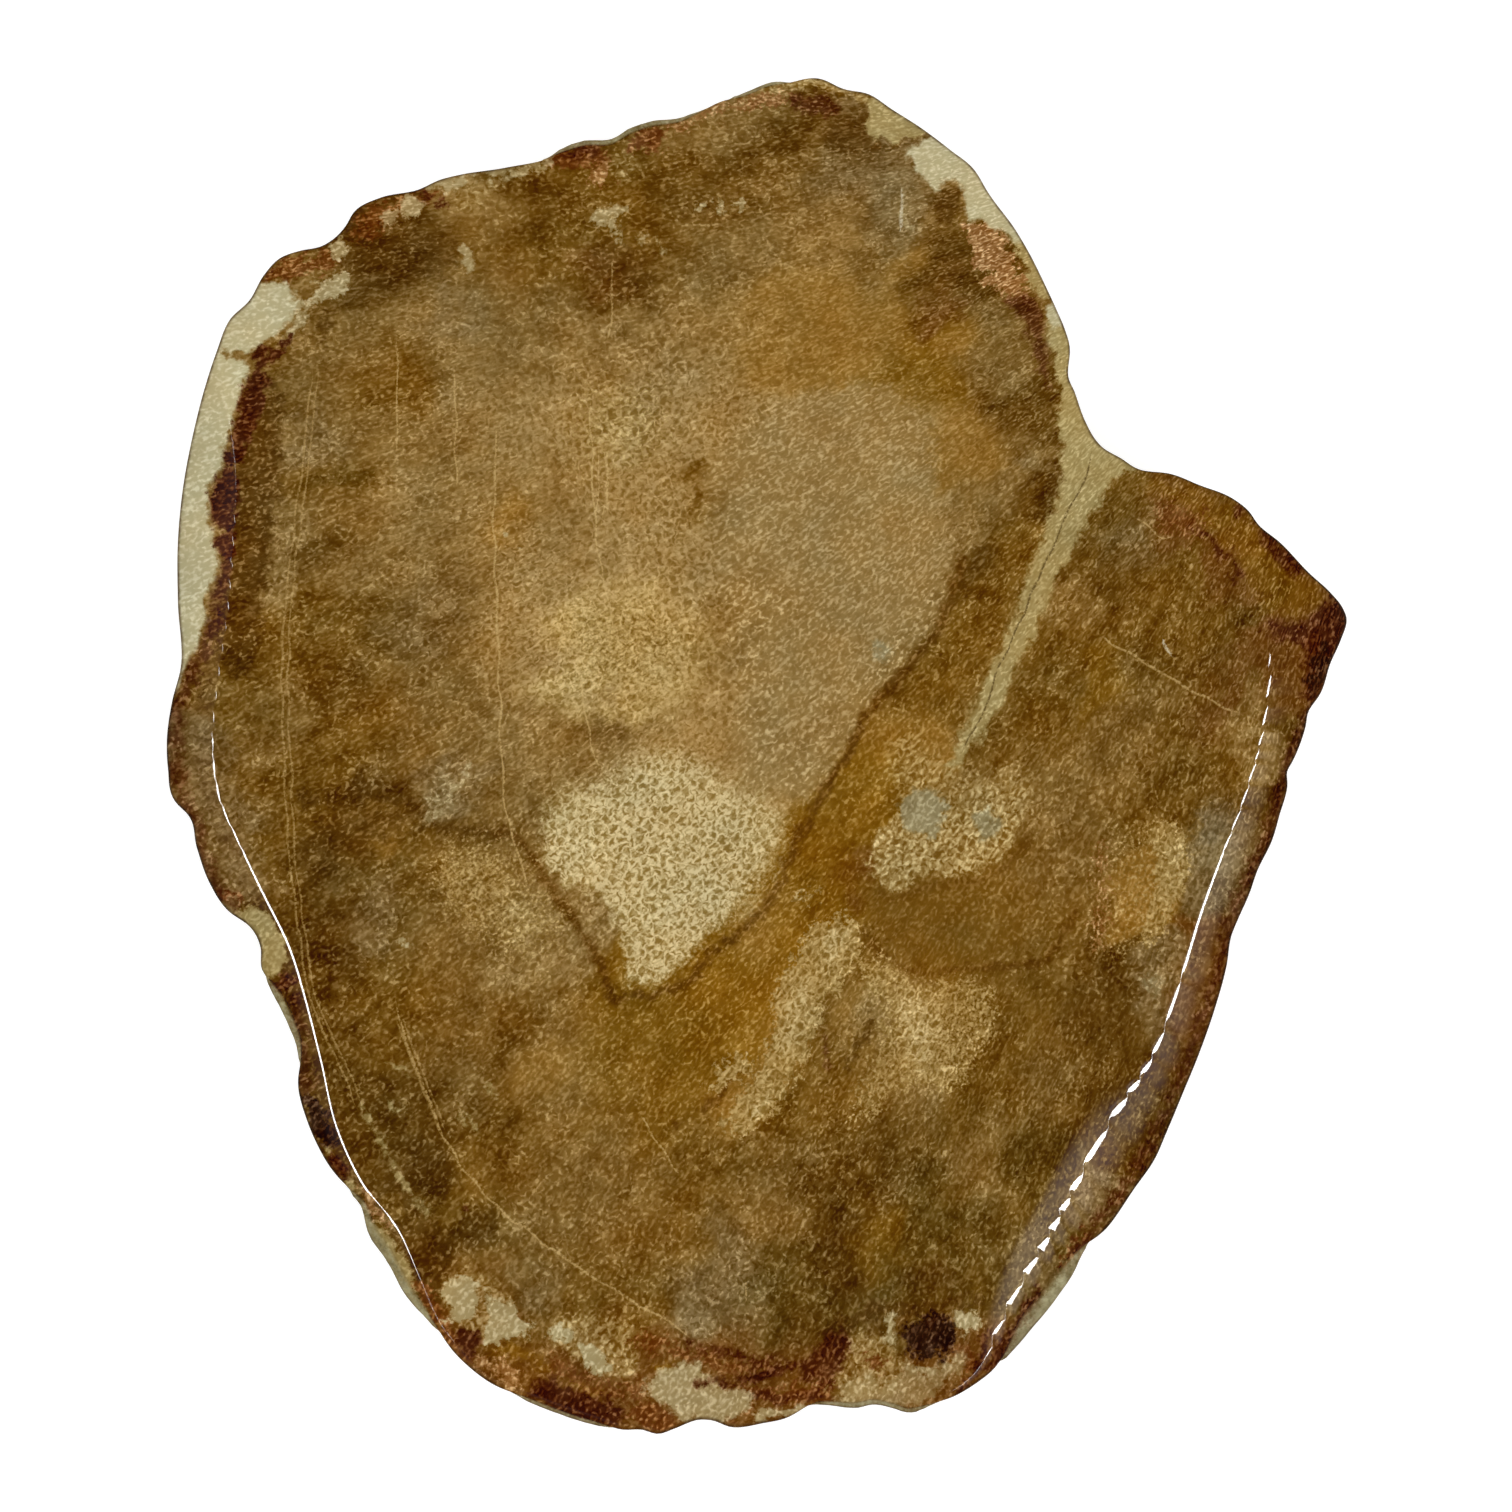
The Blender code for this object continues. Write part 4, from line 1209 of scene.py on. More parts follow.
    Patch(Tone.SHADE, ((325, 310), (324, 345)), 6, 0.5, 8),
    Patch(Tone.RUST, ((262, 283), (268, 270), (285, 258), (310, 252), (335, 248), (345, 256), (335, 268),
        (318, 272), (300, 280), (285, 283)), 5, 0.6),
    Patch(Tone.COLLAR, ((276, 272), (295, 264), (320, 261)), 5, 0.7, 10),
    Patch(Tone.RUST, ((350, 238), (355, 222), (368, 208), (385, 200), (415, 193), (438, 187), (446, 196),
        (430, 204), (405, 215), (385, 230), (368, 240)), 7, 0.6),
    Patch(Tone.CHIP, ((378, 222), (385, 208), (400, 206), (398, 220), (388, 228)), 4, 0.6),
    Patch(Tone.CHIP, ((398, 216), (404, 200), (425, 198), (424, 212), (408, 220)), 4, 0.8),
    Patch(Tone.CHIP, ((424, 186), (440, 176), (470, 172), (480, 176), (462, 186), (440, 194)), 3.5, 0.8),
    Patch(Tone.MAROON, ((414, 190), (424, 192), (432, 203), (448, 204)), 3, 0.8, 5),
    Patch(Tone.COLLAR, ((450, 190), (475, 180), (495, 178), (490, 200), (470, 215), (455, 210)), 8, 0.4),
    Patch(Tone.CHIP, ((494, 176), (520, 169), (545, 164)), 4, 0.6, 12),
    Patch(Tone.CHIP, ((462, 238), (470, 248), (478, 262), (470, 270), (460, 262)), 4, 0.75),
    Patch(Tone.RUST, ((542, 160), (560, 148), (580, 140), (605, 144), (612, 156), (604, 168), (580, 170),
        (555, 170)), 6, 0.8),
    Patch(Tone.MAROON, ((572, 152), (596, 152)), 5, 0.6, 10),
    Patch(Tone.SALMON, ((585, 170), (605, 165), (612, 180), (600, 186), (590, 180)), 5, 0.7),
    Patch(Tone.COLLAR, ((606, 160), (625, 152), (640, 158), (632, 175), (615, 185), (604, 176)), 5, 0.5),
    Patch(Tone.RUST, ((624, 146), (640, 130), (660, 124), (672, 132), (668, 146), (645, 154)), 6, 0.85),
    Patch(Tone.SALMON, ((672, 126), (700, 114), (740, 103), (785, 95)), 7, 0.5, 15),
    Patch(Tone.CHIP, ((590, 222), (598, 212), (612, 204), (632, 206), (628, 216), (612, 222),
        (600, 228)), 4, 0.65),
    Patch(Tone.CHIP, ((606, 224), (614, 234), (622, 240)), 3, 0.7, 6),
    Patch(Tone.CHIP, ((640, 240), (652, 238), (660, 248)), 4, 0.5, 7),
    Patch(Tone.CHIP, ((697, 207), (712, 202), (722, 206)), 3, 0.8, 8),
    Patch(Tone.CHIP, ((728, 208), (744, 206)), 3, 0.7, 7),
    Patch(Tone.UMBER, ((680, 213), (700, 219), (725, 217), (745, 215)), 4, 0.45, 5),
    Patch(Tone.SHADE, ((592, 245), (630, 238), (652, 260), (645, 292), (612, 300), (595, 275)), 16, 0.5),
    # Upper right rind and the mottled band inside it.
    Patch(Tone.COLLAR, ((768, 86), (800, 80), (830, 82), (860, 92), (885, 104)), 4, 0.85, 15),
    Patch(Tone.MAROON, ((786, 98), (800, 93), (830, 97), (845, 105), (840, 114), (815, 114),
        (795, 109)), 6, 0.65),
    Patch(Tone.RUST, ((755, 104), (788, 99)), 5, 0.7, 10),
    Patch(Tone.SHADE, ((818, 112), (860, 112), (882, 128), (885, 155), (850, 165), (822, 145)), 12, 0.5),
    Patch(Tone.VEIN, ((864, 116), (868, 98), (890, 90), (915, 105), (940, 125), (925, 137), (895, 142),
        (875, 142)), 4, 0.95),
    Patch(Tone.UMBER, ((874, 144), (895, 146), (910, 138), (930, 132)), 3, 0.95, 4),
    Patch(Tone.RIND, ((903, 152), (928, 138), (950, 122), (985, 150), (1010, 190), (1030, 230),
        (1020, 246), (1004, 234), (988, 222), (968, 220), (967, 204), (961, 184), (947, 178), (935, 190),
        (924, 180), (912, 166)), 4, 0.95),
    Patch(Tone.SHADE, ((928, 216), (932, 196), (950, 184), (962, 186), (966, 200), (960, 214),
        (945, 224)), 6, 0.6),
    Patch(Tone.SHADE, ((920, 225), (955, 228), (985, 280), (1010, 310), (990, 330), (950, 300),
        (925, 265)), 16, 0.15),
    Patch(Tone.SALMON, ((963, 224), (985, 218), (1003, 232), (1010, 252), (1022, 280), (1030, 296),
        (1005, 300), (988, 284), (972, 256)), 5, 0.95),
    Patch(Tone.COLLAR, ((984, 238), (998, 260), (1010, 286)), 6, 0.5, 12),
    Patch(Tone.VEIN, ((1006, 228), (1030, 230), (1056, 290), (1046, 298), (1036, 296),
        (1022, 270)), 3, 0.95),
    Patch(Tone.MAROON, ((1000, 298), (1030, 294), (1042, 302), (1043, 325), (1047, 360), (1050, 390),
        (1042, 390), (1034, 350), (1024, 320)), 6, 0.6),
    Patch(Tone.RIND, ((1045, 302), (1062, 298), (1072, 322), (1060, 327), (1048, 325)), 3, 0.95),
    Patch(Tone.VEIN, ((1064, 336), (1062, 360), (1066, 385), (1072, 410)), 3, 0.95, 14),
    Patch(Tone.GREY, ((872, 178), (895, 168), (915, 180), (925, 215), (918, 255), (900, 268), (880, 245),
        (865, 215)), 16, 0.08),
    Patch(Tone.CHIP, ((905, 186), (903, 206), (906, 226)), 3, 0.75, 5),
    # Rows of pale flecks.
    Patch(Tone.CHIP, ((466, 767),), 4, 0.8, 9),
    Patch(Tone.CHIP, ((459, 779), (455, 787)), 4, 0.8, 6),
    Patch(Tone.CHIP, ((448, 798),), 4, 0.7, 9),
    Patch(Tone.CHIP, ((441, 808), (436, 815)), 4, 0.7, 6),
    Patch(Tone.CHIP, ((428, 822),), 4, 0.6, 8),
    Patch(Tone.CHIP, ((503, 538), (514, 549)), 4, 0.9, 6),
    Patch(Tone.CHIP, ((403, 942),), 4, 0.8, 9),
)


LINES: tuple[Line, ...] = (
    Line(LineKind.TWIN, ((315, 370), (311, 410), (305, 470), (298, 520), (293, 560), (285, 630),
        (285, 716), (289, 788), (291, 848), (299, 915), (306, 961), (311, 995), (328, 1038), (348, 1075),
        (362, 1110))),
    Line(LineKind.TWIN, ((400, 1020), (412, 1050), (425, 1090), (443, 1130))),
    Line(LineKind.PALE, ((397, 340), (397, 450)), 1.5),
    Line(LineKind.PALE, ((455, 370), (456, 430), (456, 486))),
    Line(LineKind.PALE, ((496, 423), (493, 538), (499, 644), (500, 730), (506, 816), (520, 857),
        (532, 905))),
    Line(LineKind.PALE, ((590, 400), (593, 509), (600, 564), (615, 630))),
    Line(LineKind.PALE, ((606, 452), (609, 515))),
    Line(LineKind.PALE, ((575, 630), (583, 704), (598, 767)), 1.5),
    Line(LineKind.PALE, ((612, 260), (612, 300), (608, 340))),
    Line(LineKind.PALE, ((394, 1001), (408, 1044), (423, 1087), (443, 1136), (466, 1173), (503, 1213),
        (532, 1234), (569, 1262), (615, 1291), (661, 1317), (690, 1337)), 2.4),
    Line(LineKind.PALE, ((641, 1116), (660, 1145), (678, 1173))),
    Line(LineKind.PALE, ((1138, 518), (1148, 525), (1163, 540), (1170, 538))),
    Line(LineKind.PALE, ((1103, 638), (1118, 646), (1142, 662), (1165, 675), (1190, 690), (1215, 702),
        (1240, 715)), 2.4),
    Line(LineKind.PALE, ((745, 1280), (746, 1300))),
    Line(LineKind.DARK, ((1092, 452), (1088, 468), (1082, 482), (1075, 499), (1064, 520), (1053, 546),
        (1037, 582), (1020, 620), (999, 668), (982, 716), (962, 752)), 1.8),
    Line(LineKind.SCRATCH, ((1164, 640), (1172, 655)), 2.4),
    Line(LineKind.SCRATCH, ((901, 190), (902, 230)), 3.0),
)


@dataclass(frozen=True)
class Wander:
    """How a smooth random field moves drawn borders.

    Attributes:
        length: Length of its waves in pixels.
        way: How far it moves points, in pixels.
        seed: Seed of the field.
    """

    length: float
    way: float
    seed: int

    def of(self, places: Array) -> Array:
        """Move points, one a row, by two fields: one across and one down."""
        shift = [Swell(self.length, self.seed + k).at(*places.T) for k in (0, 1)]
        return places + self.way * np.column_stack(shift)


@dataclass
class WoodPaint:
    """Colours and marks of the wood, laid on the mesh as attributes.

    Attributes:
        slab: The mesh to paint.
        pith: Where the rays of the wood meet, in pixels.
        stretch: How much longer a spot is along the rays than across them.
        bell: Width of a spot's bell curve, as a share of its radius.
        even_radius: Radius of a spot whose bell curve is 1 high.
        small_gain: Power by which smaller spots stand higher.
        least: Weight that a spot keeps far away.
        depth: Screen steps from the dark to the light ground colour.
        pore_depth: Further such steps where the wood is all pores.
        dark_share: Share of the steps that lies below the ground colour.
        pore_share: Further such share where the wood is all pores.
        far: Distance given to points that no stain or line reaches, in pixels.
        ground_wander: Fields that move the spots' places, one after the other.
        stain_wander: Field that moves the stains.
        line_wander: Field that moves the lines.
    """

    slab: SlabMesh
    pith: tuple[float, float] = (1530.0, 35.0)
    stretch: float = 1.25
    bell: float = 0.62
    even_radius: float = 50.0
    small_gain: float = 1.6
    least: float = 1e-12
    depth: float = 34.0
    pore_depth: float = 28.0
    dark_share: float = 0.30
    pore_share: float = 0.12
    far: float = 24.0
    ground_wander: tuple[Wander, ...] = (Wander(70.0, 12.0, 21), Wander(24.0, 5.0, 23))
    stain_wander: Wander = Wander(26.0, 2.2, 31)
    line_wander: Wander = Wander(30.0, 1.2, 41)

    def places(self) -> Array:
        """Points of the mesh on the view, in pixels."""
        return PLAN.pixels(self.slab.places)

    def grounds(self) -> tuple[Array, Array, Array, Array]:
        """Dark and light ground colour of each point, its liveliness and share of pores.

        Each spot weighs with a bell curve of the distance, which is longer along the rays and
        higher for a small spot, and the spots' values are averaged by those weights.

        Returns:
            Screen colours from 0 to 1, dark and light, and the two other values.
        """
        places = self.places()
        for wander in self.ground_wander:
            places = wander.of(places)
        total = np.full(len(places), self.least)
        mean = np.zeros((len(places), 5))
        for wash, spots in SPOTS.items():
            for x, y, radius in spots:
                away = places - (x, y)
                turn = math.atan2(self.pith[1] - y, self.pith[0] - x)
                along = away[:, 0] * math.cos(turn) + away[:, 1] * math.sin(turn)
                across = away[:, 1] * math.cos(turn) - away[:, 0] * math.sin(turn)
                spread = (along / self.stretch) ** 2 + across ** 2
                bell = np.exp(-0.5 * spread / (self.bell * radius) ** 2)
                weight = (bell + self.least) * (self.even_radius / radius) ** self.small_gain
                total += weight
                mean += weight[:, None] * np.array(wash.value, dtype=float)
        mean /= total[:, None]
        lively, pores = mean[:, 3:].T
        depth = (self.depth + self.pore_depth * pores ** 2)[:, None]
        below = depth * (self.dark_share + self.pore_share * pores[:, None])
        return screen(mean[:, :3] - below), screen(mean[:, :3] + depth - below), lively, pores

    def marks(self, tone: Tone) -> Array:
        """Marks of one kind of stain.

        Args:
            tone: Kind of stain.

        Returns:
            For each point the signed distance and the fade in millimetres, and the strength.
        """
        places = self.stain_wander.of(self.places())
        found = np.tile((-self.far * PX, 0.3, 1.0), (len(places), 1))
        best = np.full(len(places), -np.inf)
        for patch in (p for p in PATCHES if p.tone is tone):
            near = np.flatnonzero(patch.reach(places))
            inside = patch.inside(places[near])
            cover = inside / patch.blur
            better = cover > best[near]
            row = near[better]
            best[row] = cover[better]
            found[row, 0] = inside[better] * PX
            found[row, 1] = patch.blur * PX
            found[row, 2] = patch.strength
        return found

    def lines(self, kind: LineKind) -> Array:
        """Marks of one kind of thin line.

        Args:
            kind: Kind of line.

        Returns:
            For each point the distance to the side, the distance and half the width, all in
            millimetres, of the nearest line. The width runs out at the line's ends.
        """
        places = self.line_wander.of(self.places())
        found = np.tile((self.far * PX, self.far * PX, 0.0), (len(places), 1))
        best = np.full(len(places), self.far)
        for line in (one for one in LINES if one.kind is kind):
            path = rounded(np.array(line.points, dtype=float), False)
            near = np.flatnonzero(within(places, path, self.far))
            distance, side, share = to_path(places[near], path)
            better = distance < best[near]
            row = near[better]
            best[row] = distance[better]
            ends = np.minimum(share, 1.0 - share)[better]
            found[row, 0] = (distance * side)[better] * PX
            found[row, 1] = distance[better] * PX
            found[row, 2] = 0.5 * line.width * PX * smooth_step(ends, -0.02, 0.06)
        return found

    def lay(self, mesh: bpy.types.Mesh) -> None:
        """Store all colours and marks on the mesh.

        Args:
            mesh: The slab's mesh.
        """
        dark, light, lively, pores = self.grounds()
        for name, colour in (("ground_dark", dark), ("ground_light", light)):
            full = np.column_stack((colour, np.ones(len(colour)))).astype(np.float32)
            layer = mesh.attributes.new(name, "FLOAT_COLOR", "POINT")
            layer.data.foreach_set("color", full.ravel())
        wanted = {f"stain_{tone.name.lower()}": self.marks(tone) for tone in Tone}
        wanted |= {f"line_{kind.name.lower()}": self.lines(kind) for kind in LineKind}
        where = (self.slab.wall_share, self.slab.back_share, lively)
        wanted["where"] = np.column_stack(where)
        wanted["margin"] = np.column_stack((*self.slab.margins(), pores))
        for name, values in wanted.items():
            layer = mesh.attributes.new(name, "FLOAT_VECTOR", "POINT")
            layer.data.foreach_set("vector", values.astype(np.float32).ravel())


class Bench:
    """Places shader nodes in one tree and wires them."""

    def __init__(self, tree: bpy.types.ShaderNodeTree) -> None:
        """Work in the given tree."""
        self.tree = tree

    def place(self, kind: str, inputs: dict[int | str, Feed] | None = None,
              **settings: object) -> bpy.types.Node:
        """Place a node, set its properties and feed its inputs.

        Args:
            kind: Blender's name of the node.
            inputs: Feeds by the name or the index of the input.
            **settings: Properties by name.

        Returns:
            The node.
        """
        node = self.tree.nodes.new(kind)
        for name, value in settings.items():
            setattr(node, name, value)
        for name, value in (inputs or {}).items():
            self.feed(node.inputs[name], value)
        return node

    def feed(self, socket: Socket, value: Feed) -> None:
        """Wire a socket to another, or set its value.

        Args:
            socket: The input.
            value: An output, a number, a colour or a vector.
        """
        if isinstance(value, bpy.types.NodeSocket):
            self.tree.links.new(value, socket)
        elif socket.type == "RGBA":
            socket.default_value = (*tuple(value)[:3], 1.0)
        else:
            socket.default_value = value

    def math(self, operation: str, *values: Feed, clamp: bool = False) -> Socket:
        """Result of a Math node on some values, on request held between 0 and 1."""
        inputs = dict(enumerate(values))
        return self.place("ShaderNodeMath", inputs, operation=operation, use_clamp=clamp).outputs[0]

    def add(self, first: Feed, second: Feed) -> Socket:
        """Sum of two numbers."""
        return self.math("ADD", first, second)

    def less(self, first: Feed, second: Feed) -> Socket:
        """First number less the second."""
        return self.math("SUBTRACT", first, second)

    def rest(self, value: Feed) -> Socket:
        """What a share leaves of 1."""
        return self.math("SUBTRACT", 1.0, value)

    def times(self, first: Feed, second: Feed) -> Socket:
        """Product of two numbers."""
        return self.math("MULTIPLY", first, second)

    def line(self, value: Feed, slope: Feed, start: Feed, clamp: bool = False) -> Socket:
        """Value times slope plus start, on request held between 0 and 1."""
        return self.math("MULTIPLY_ADD", value, slope, start, clamp=clamp)

    def mix(self, share: Feed, first: Feed, second: Feed) -> Socket:
        """Blend of two numbers by the second one's share."""
        inputs = {0: share, 2: first, 3: second}
        return self.place("ShaderNodeMix", inputs, data_type="FLOAT").outputs[0]

    def blend(self, share: Feed, first: Feed, second: Feed) -> Socket:
        """Blend of two colours by the second one's share."""
        inputs = {0: share, 6: first, 7: second}
        return self.place("ShaderNodeMix", inputs, data_type="RGBA").outputs[2]

    def step(self, value: Feed, low: Feed, high: Feed) -> Socket:
        """Smooth rise from 0 where the value is low to 1 where it is high."""
        inputs = {"Value": value, "From Min": low, "From Max": high}
        return self.place("ShaderNodeMapRange", inputs, interpolation_type="SMOOTHSTEP").outputs[0]

    def split(self, vector: Feed) -> tuple[Socket, Socket, Socket]:
        """Three parts of a vector."""
        return tuple(self.place("ShaderNodeSeparateXYZ", {0: vector}).outputs)

    def join(self, x: Feed, y: Feed, z: Feed) -> Socket:
        """Vector of three parts."""
        return self.place("ShaderNodeCombineXYZ", {0: x, 1: y, 2: z}).outputs[0]

    def noise(self, vector: Feed, scale: float, detail: float, rough: float) -> Socket:
        """Noise about 0.5, of a scale, with so many finer layers of that strength."""
        inputs = {"Vector": vector, "Scale": scale, "Detail": detail, "Roughness": rough}
        return self.place("ShaderNodeTexNoise", inputs, noise_dimensions="3D").outputs[0]

    def shift(self, colour: Feed, value: Feed, steps: Colour) -> Socket:
        """Add to a colour by how far a value lies above a half.

        Args:
            colour: The colour.
            value: A value from 0 to 1.
            steps: Screen steps from the value 0 to the value 1.

        Returns:
            The shifted colour.
        """
        centred = self.less(value, 0.5)
        inputs = {0: self.join(centred, centred, centred), 1: tuple(screen(steps)), 2: colour}
        return self.place("ShaderNodeVectorMath", inputs, operation="MULTIPLY_ADD").outputs[0]

    def spread(self, value: Feed, gain: float) -> Socket:
        """Widen a value about a half by a gain, held between 0 and 1."""
        return self.line(self.less(value, 0.5), gain, 0.5, clamp=True)

    def read(self, name: str, output: str = "Vector") -> Socket:
        """Attribute of the mesh, by its name."""
        return self.place("ShaderNodeAttribute", attribute_name=name).outputs[output]

    def group(self, tree: bpy.types.ShaderNodeTree, **values: Feed) -> Outputs:
        """Outputs of a node group that is fed by name, with _ for a space."""
        inputs = {name.replace("_", " "): value for name, value in values.items()}
        return self.place("ShaderNodeGroup", inputs, node_tree=tree).outputs

    def close(self, values: dict[str, Feed]) -> bpy.types.ShaderNodeTree:
        """Feed the group's outputs by name, and give the finished group."""
        self.place("NodeGroupOutput", values)
        return self.tree


def new_group(name: str, inputs: dict[str, str], outputs: dict[str, str]) -> tuple[Bench, Outputs]:
    """Start a shader node group.

    Args:
        name: Name of the group.
        inputs: Kind of each input socket by name.
        outputs: Kind of each output socket by name.

    Returns:
        A bench for the group, and what is given to it.
    """
    tree = bpy.data.node_groups.new(name, "ShaderNodeTree")
    for sockets, way in ((inputs, "INPUT"), (outputs, "OUTPUT")):
        for label, kind in sockets.items():
            tree.interface.new_socket(name=label, in_out=way, socket_type=f"NodeSocket{kind}")
    bench = Bench(tree)
    return bench, bench.place("NodeGroupInput").outputs


@dataclass(frozen=True)
class Grain:
    """Pores, rays and clouds of the wood, which fan out from the pith.

    The pattern is read in polar coordinates about the pith: the distance, and the direction
    times a fixed radius. Two such radii are blended, so that the rays keep their width. The
    pattern hardly changes with height, as wood's pores run along the trunk. Each pace says how
    fast a pattern changes away from the pith and round it.

    Attributes:
        pith: Where the rays meet, in millimetres.
        radii: The two fixed radii.
        change: Distances between which the second radius takes over.
        lean: Pace of all patterns up the wall.
        bend_scale: Scale of the noise that bends strokes and pores.
        stroke_pace: Pace of the short strokes.
        stroke_bend: How far they are bent.
        ray_pace: Pace of the long fine rays.
        pore_pace: Pace of the net between the round pores.
        pore_bend: How far it is bent.
        drift_pace: Pace of mottling and clusters away from the pith.
        ray_share: Share of the rays among the strokes.
        grit_share: Share of the grit among the strokes of the flecks.
    """

    pith: tuple[float, float] = (64.4, 60.1)
    radii: tuple[float, float] = (72.0, 108.0)
    change: tuple[float, float] = (84.0, 96.0)
    lean: float = 0.07
    bend_scale: float = 1.6
    stroke_pace: tuple[float, float] = (2.6, 4.0)
    stroke_bend: float = 1.6
    ray_pace: tuple[float, float] = (0.8, 4.8)
    pore_pace: tuple[float, float] = (1.35, 1.2)
    pore_bend: float = 2.0
    drift_pace: float = 0.6
    ray_share: float = 0.3
    grit_share: float = 0.25

    def group(self) -> bpy.types.ShaderNodeTree:
        """Make the node group.

        Returns:
            The group: it takes the place in millimetres and puts out values from 0 to 1.
        """
        kinds = ("Streak", "Net", "Fleck", "Grit", "Cloud", "Mottle", "Cluster", "Hue", "Edge")
        bench, given = new_group("wood_grain", {"Place": "Vector"}, dict.fromkeys(kinds, "Float"))
        x, y, z = bench.split(given["Place"])
        east, north = bench.less(self.pith[0], x), bench.less(self.pith[1], y)
        reach = bench.math("SQRT", bench.line(east, east, bench.times(north, north)))
        turn = bench.math("ARCTAN2", north, east)
        deep = bench.times(z, self.lean)
        flat = bench.join(x, y, deep)
        inputs = {"Vector": flat, "Scale": self.bend_scale, "Detail": 2.0}
        bends = bench.split(bench.place("ShaderNodeTexNoise", inputs).outputs["Color"])
        patterns = []
        for radius in self.radii:
            ways = (reach, bench.times(turn, radius))
            stroke = [bench.line(way, pace, bench.times(bent, self.stroke_bend))
                      for way, pace, bent in zip(ways, self.stroke_pace, bends)]
            ray = [bench.times(way, pace) for way, pace in zip(ways, self.ray_pace)]
            pore = [bench.line(way, pace, bench.times(bent, self.pore_bend))
                    for way, pace, bent in zip(ways, self.pore_pace, bends)]
            net = bench.place("ShaderNodeTexVoronoi", {"Vector": bench.join(*pore, 0.0), "Scale": 1.0},
                              voronoi_dimensions="2D", feature="DISTANCE_TO_EDGE")
            drift = bench.join(bench.times(reach, self.drift_pace), ways[1], deep)
            patterns.append((bench.noise(bench.join(*stroke, deep), 1.0, 0.7, 0.5),
                             bench.noise(bench.join(*ray, deep), 1.0, 0.5, 0.5),
                             net.outputs["Distance"],
                             bench.noise(drift, 0.75, 4.0, 0.62),
                             bench.noise(drift, 0.5, 3.0, 0.62)))
        outer = bench.step(reach, *self.change)
        stroke, ray, gap, mottle, cluster = (bench.mix(outer, *pair) for pair in zip(*patterns))
        woven = bench.mix(self.ray_share, stroke, ray)
        grit = bench.noise(flat, 4.1, 1.5, 0.6)
        broken = bench.spread(bench.noise(flat, 1.3, 1.0, 0.6), 2.6)
        wall = bench.times(bench.rest(bench.step(gap, 0.02, 0.34)), bench.line(broken, 0.4, 0.8))
        weave = bench.line(bench.step(woven, 0.38, 0.60), 0.44, -0.06)
        return bench.close({
            "Streak": bench.step(woven, 0.42, 0.68),
            "Net": bench.line(wall, 0.76, weave, clamp=True),
            "Fleck": bench.step(bench.mix(self.grit_share, stroke, grit), 0.56, 0.64),
            "Grit": bench.spread(grit, 3.2),
            "Cloud": bench.spread(bench.noise(flat, 0.14, 3.0, 0.6), 2.6),
            "Mottle": bench.spread(mottle, 3.0),
            "Cluster": bench.spread(cluster, 2.8),
            "Hue": bench.spread(bench.noise(bench.join(y, x, deep), 0.12, 3.5, 0.6), 2.6),
            "Edge": bench.spread(bench.noise(flat, 1.1, 3.5, 0.68), 2.8),
        })


# What a stain covers: two colours, share of round pores, how plain and how dull the stone is.
LOOK = {"Dark": "Color", "Light": "Color", "Cells": "Float", "Plain": "Float", "Dull": "Float"}


@dataclass(frozen=True)
class StainWork:
    """Lays one stain over the look below it.

    Attributes:
        wander: How far the edge noise moves a ragged edge, in ragged widths.
        hold: How far the flecks hold a speckled stain back.
    """

    wander: float = 2.0
    hold: float = 0.8

    def group(self) -> bpy.types.ShaderNodeTree:
        """Make the node group.

        The level rises through the fade with the signed distance, which a ragged noise moves.
        With speckle the level has to beat a fleck noise, so the edge breaks into flecks.

        Returns:
            The group: it takes a look and a stain's look, and gives the look with the stain.
        """
        inputs = {**LOOK, "Mark": "Vector", "Edge": "Float", "Fleck": "Float",
                  **{f"Stain {name}": kind for name, kind in LOOK.items()},
                  "Ragged": "Float", "Speckle": "Float"}
        bench, given = new_group("stain", inputs, LOOK)
        inside, fade, strength = bench.split(given["Mark"])
        speckle = given["Speckle"]
        way = bench.times(bench.less(given["Edge"], 0.5), self.wander)
        moved = bench.line(way, given["Ragged"], inside)
        level = bench.line(bench.math("DIVIDE", moved, fade), 0.5, 0.5, clamp=True)
        level = bench.times(level, bench.mix(speckle, 1.0, strength))
        low = bench.times(bench.times(bench.rest(given["Fleck"]), self.hold), speckle)
        high = bench.add(low, bench.line(speckle, -self.hold, 1.0))
        cover = bench.times(bench.step(level, low, high), bench.mix(speckle, strength, 1.0))
        laid = {}
        for name, kind in LOOK.items():
            merge = bench.blend if kind == "Color" else bench.mix
            laid[name] = merge(cover, given[name], given[f"Stain {name}"])
        return bench.close(laid)


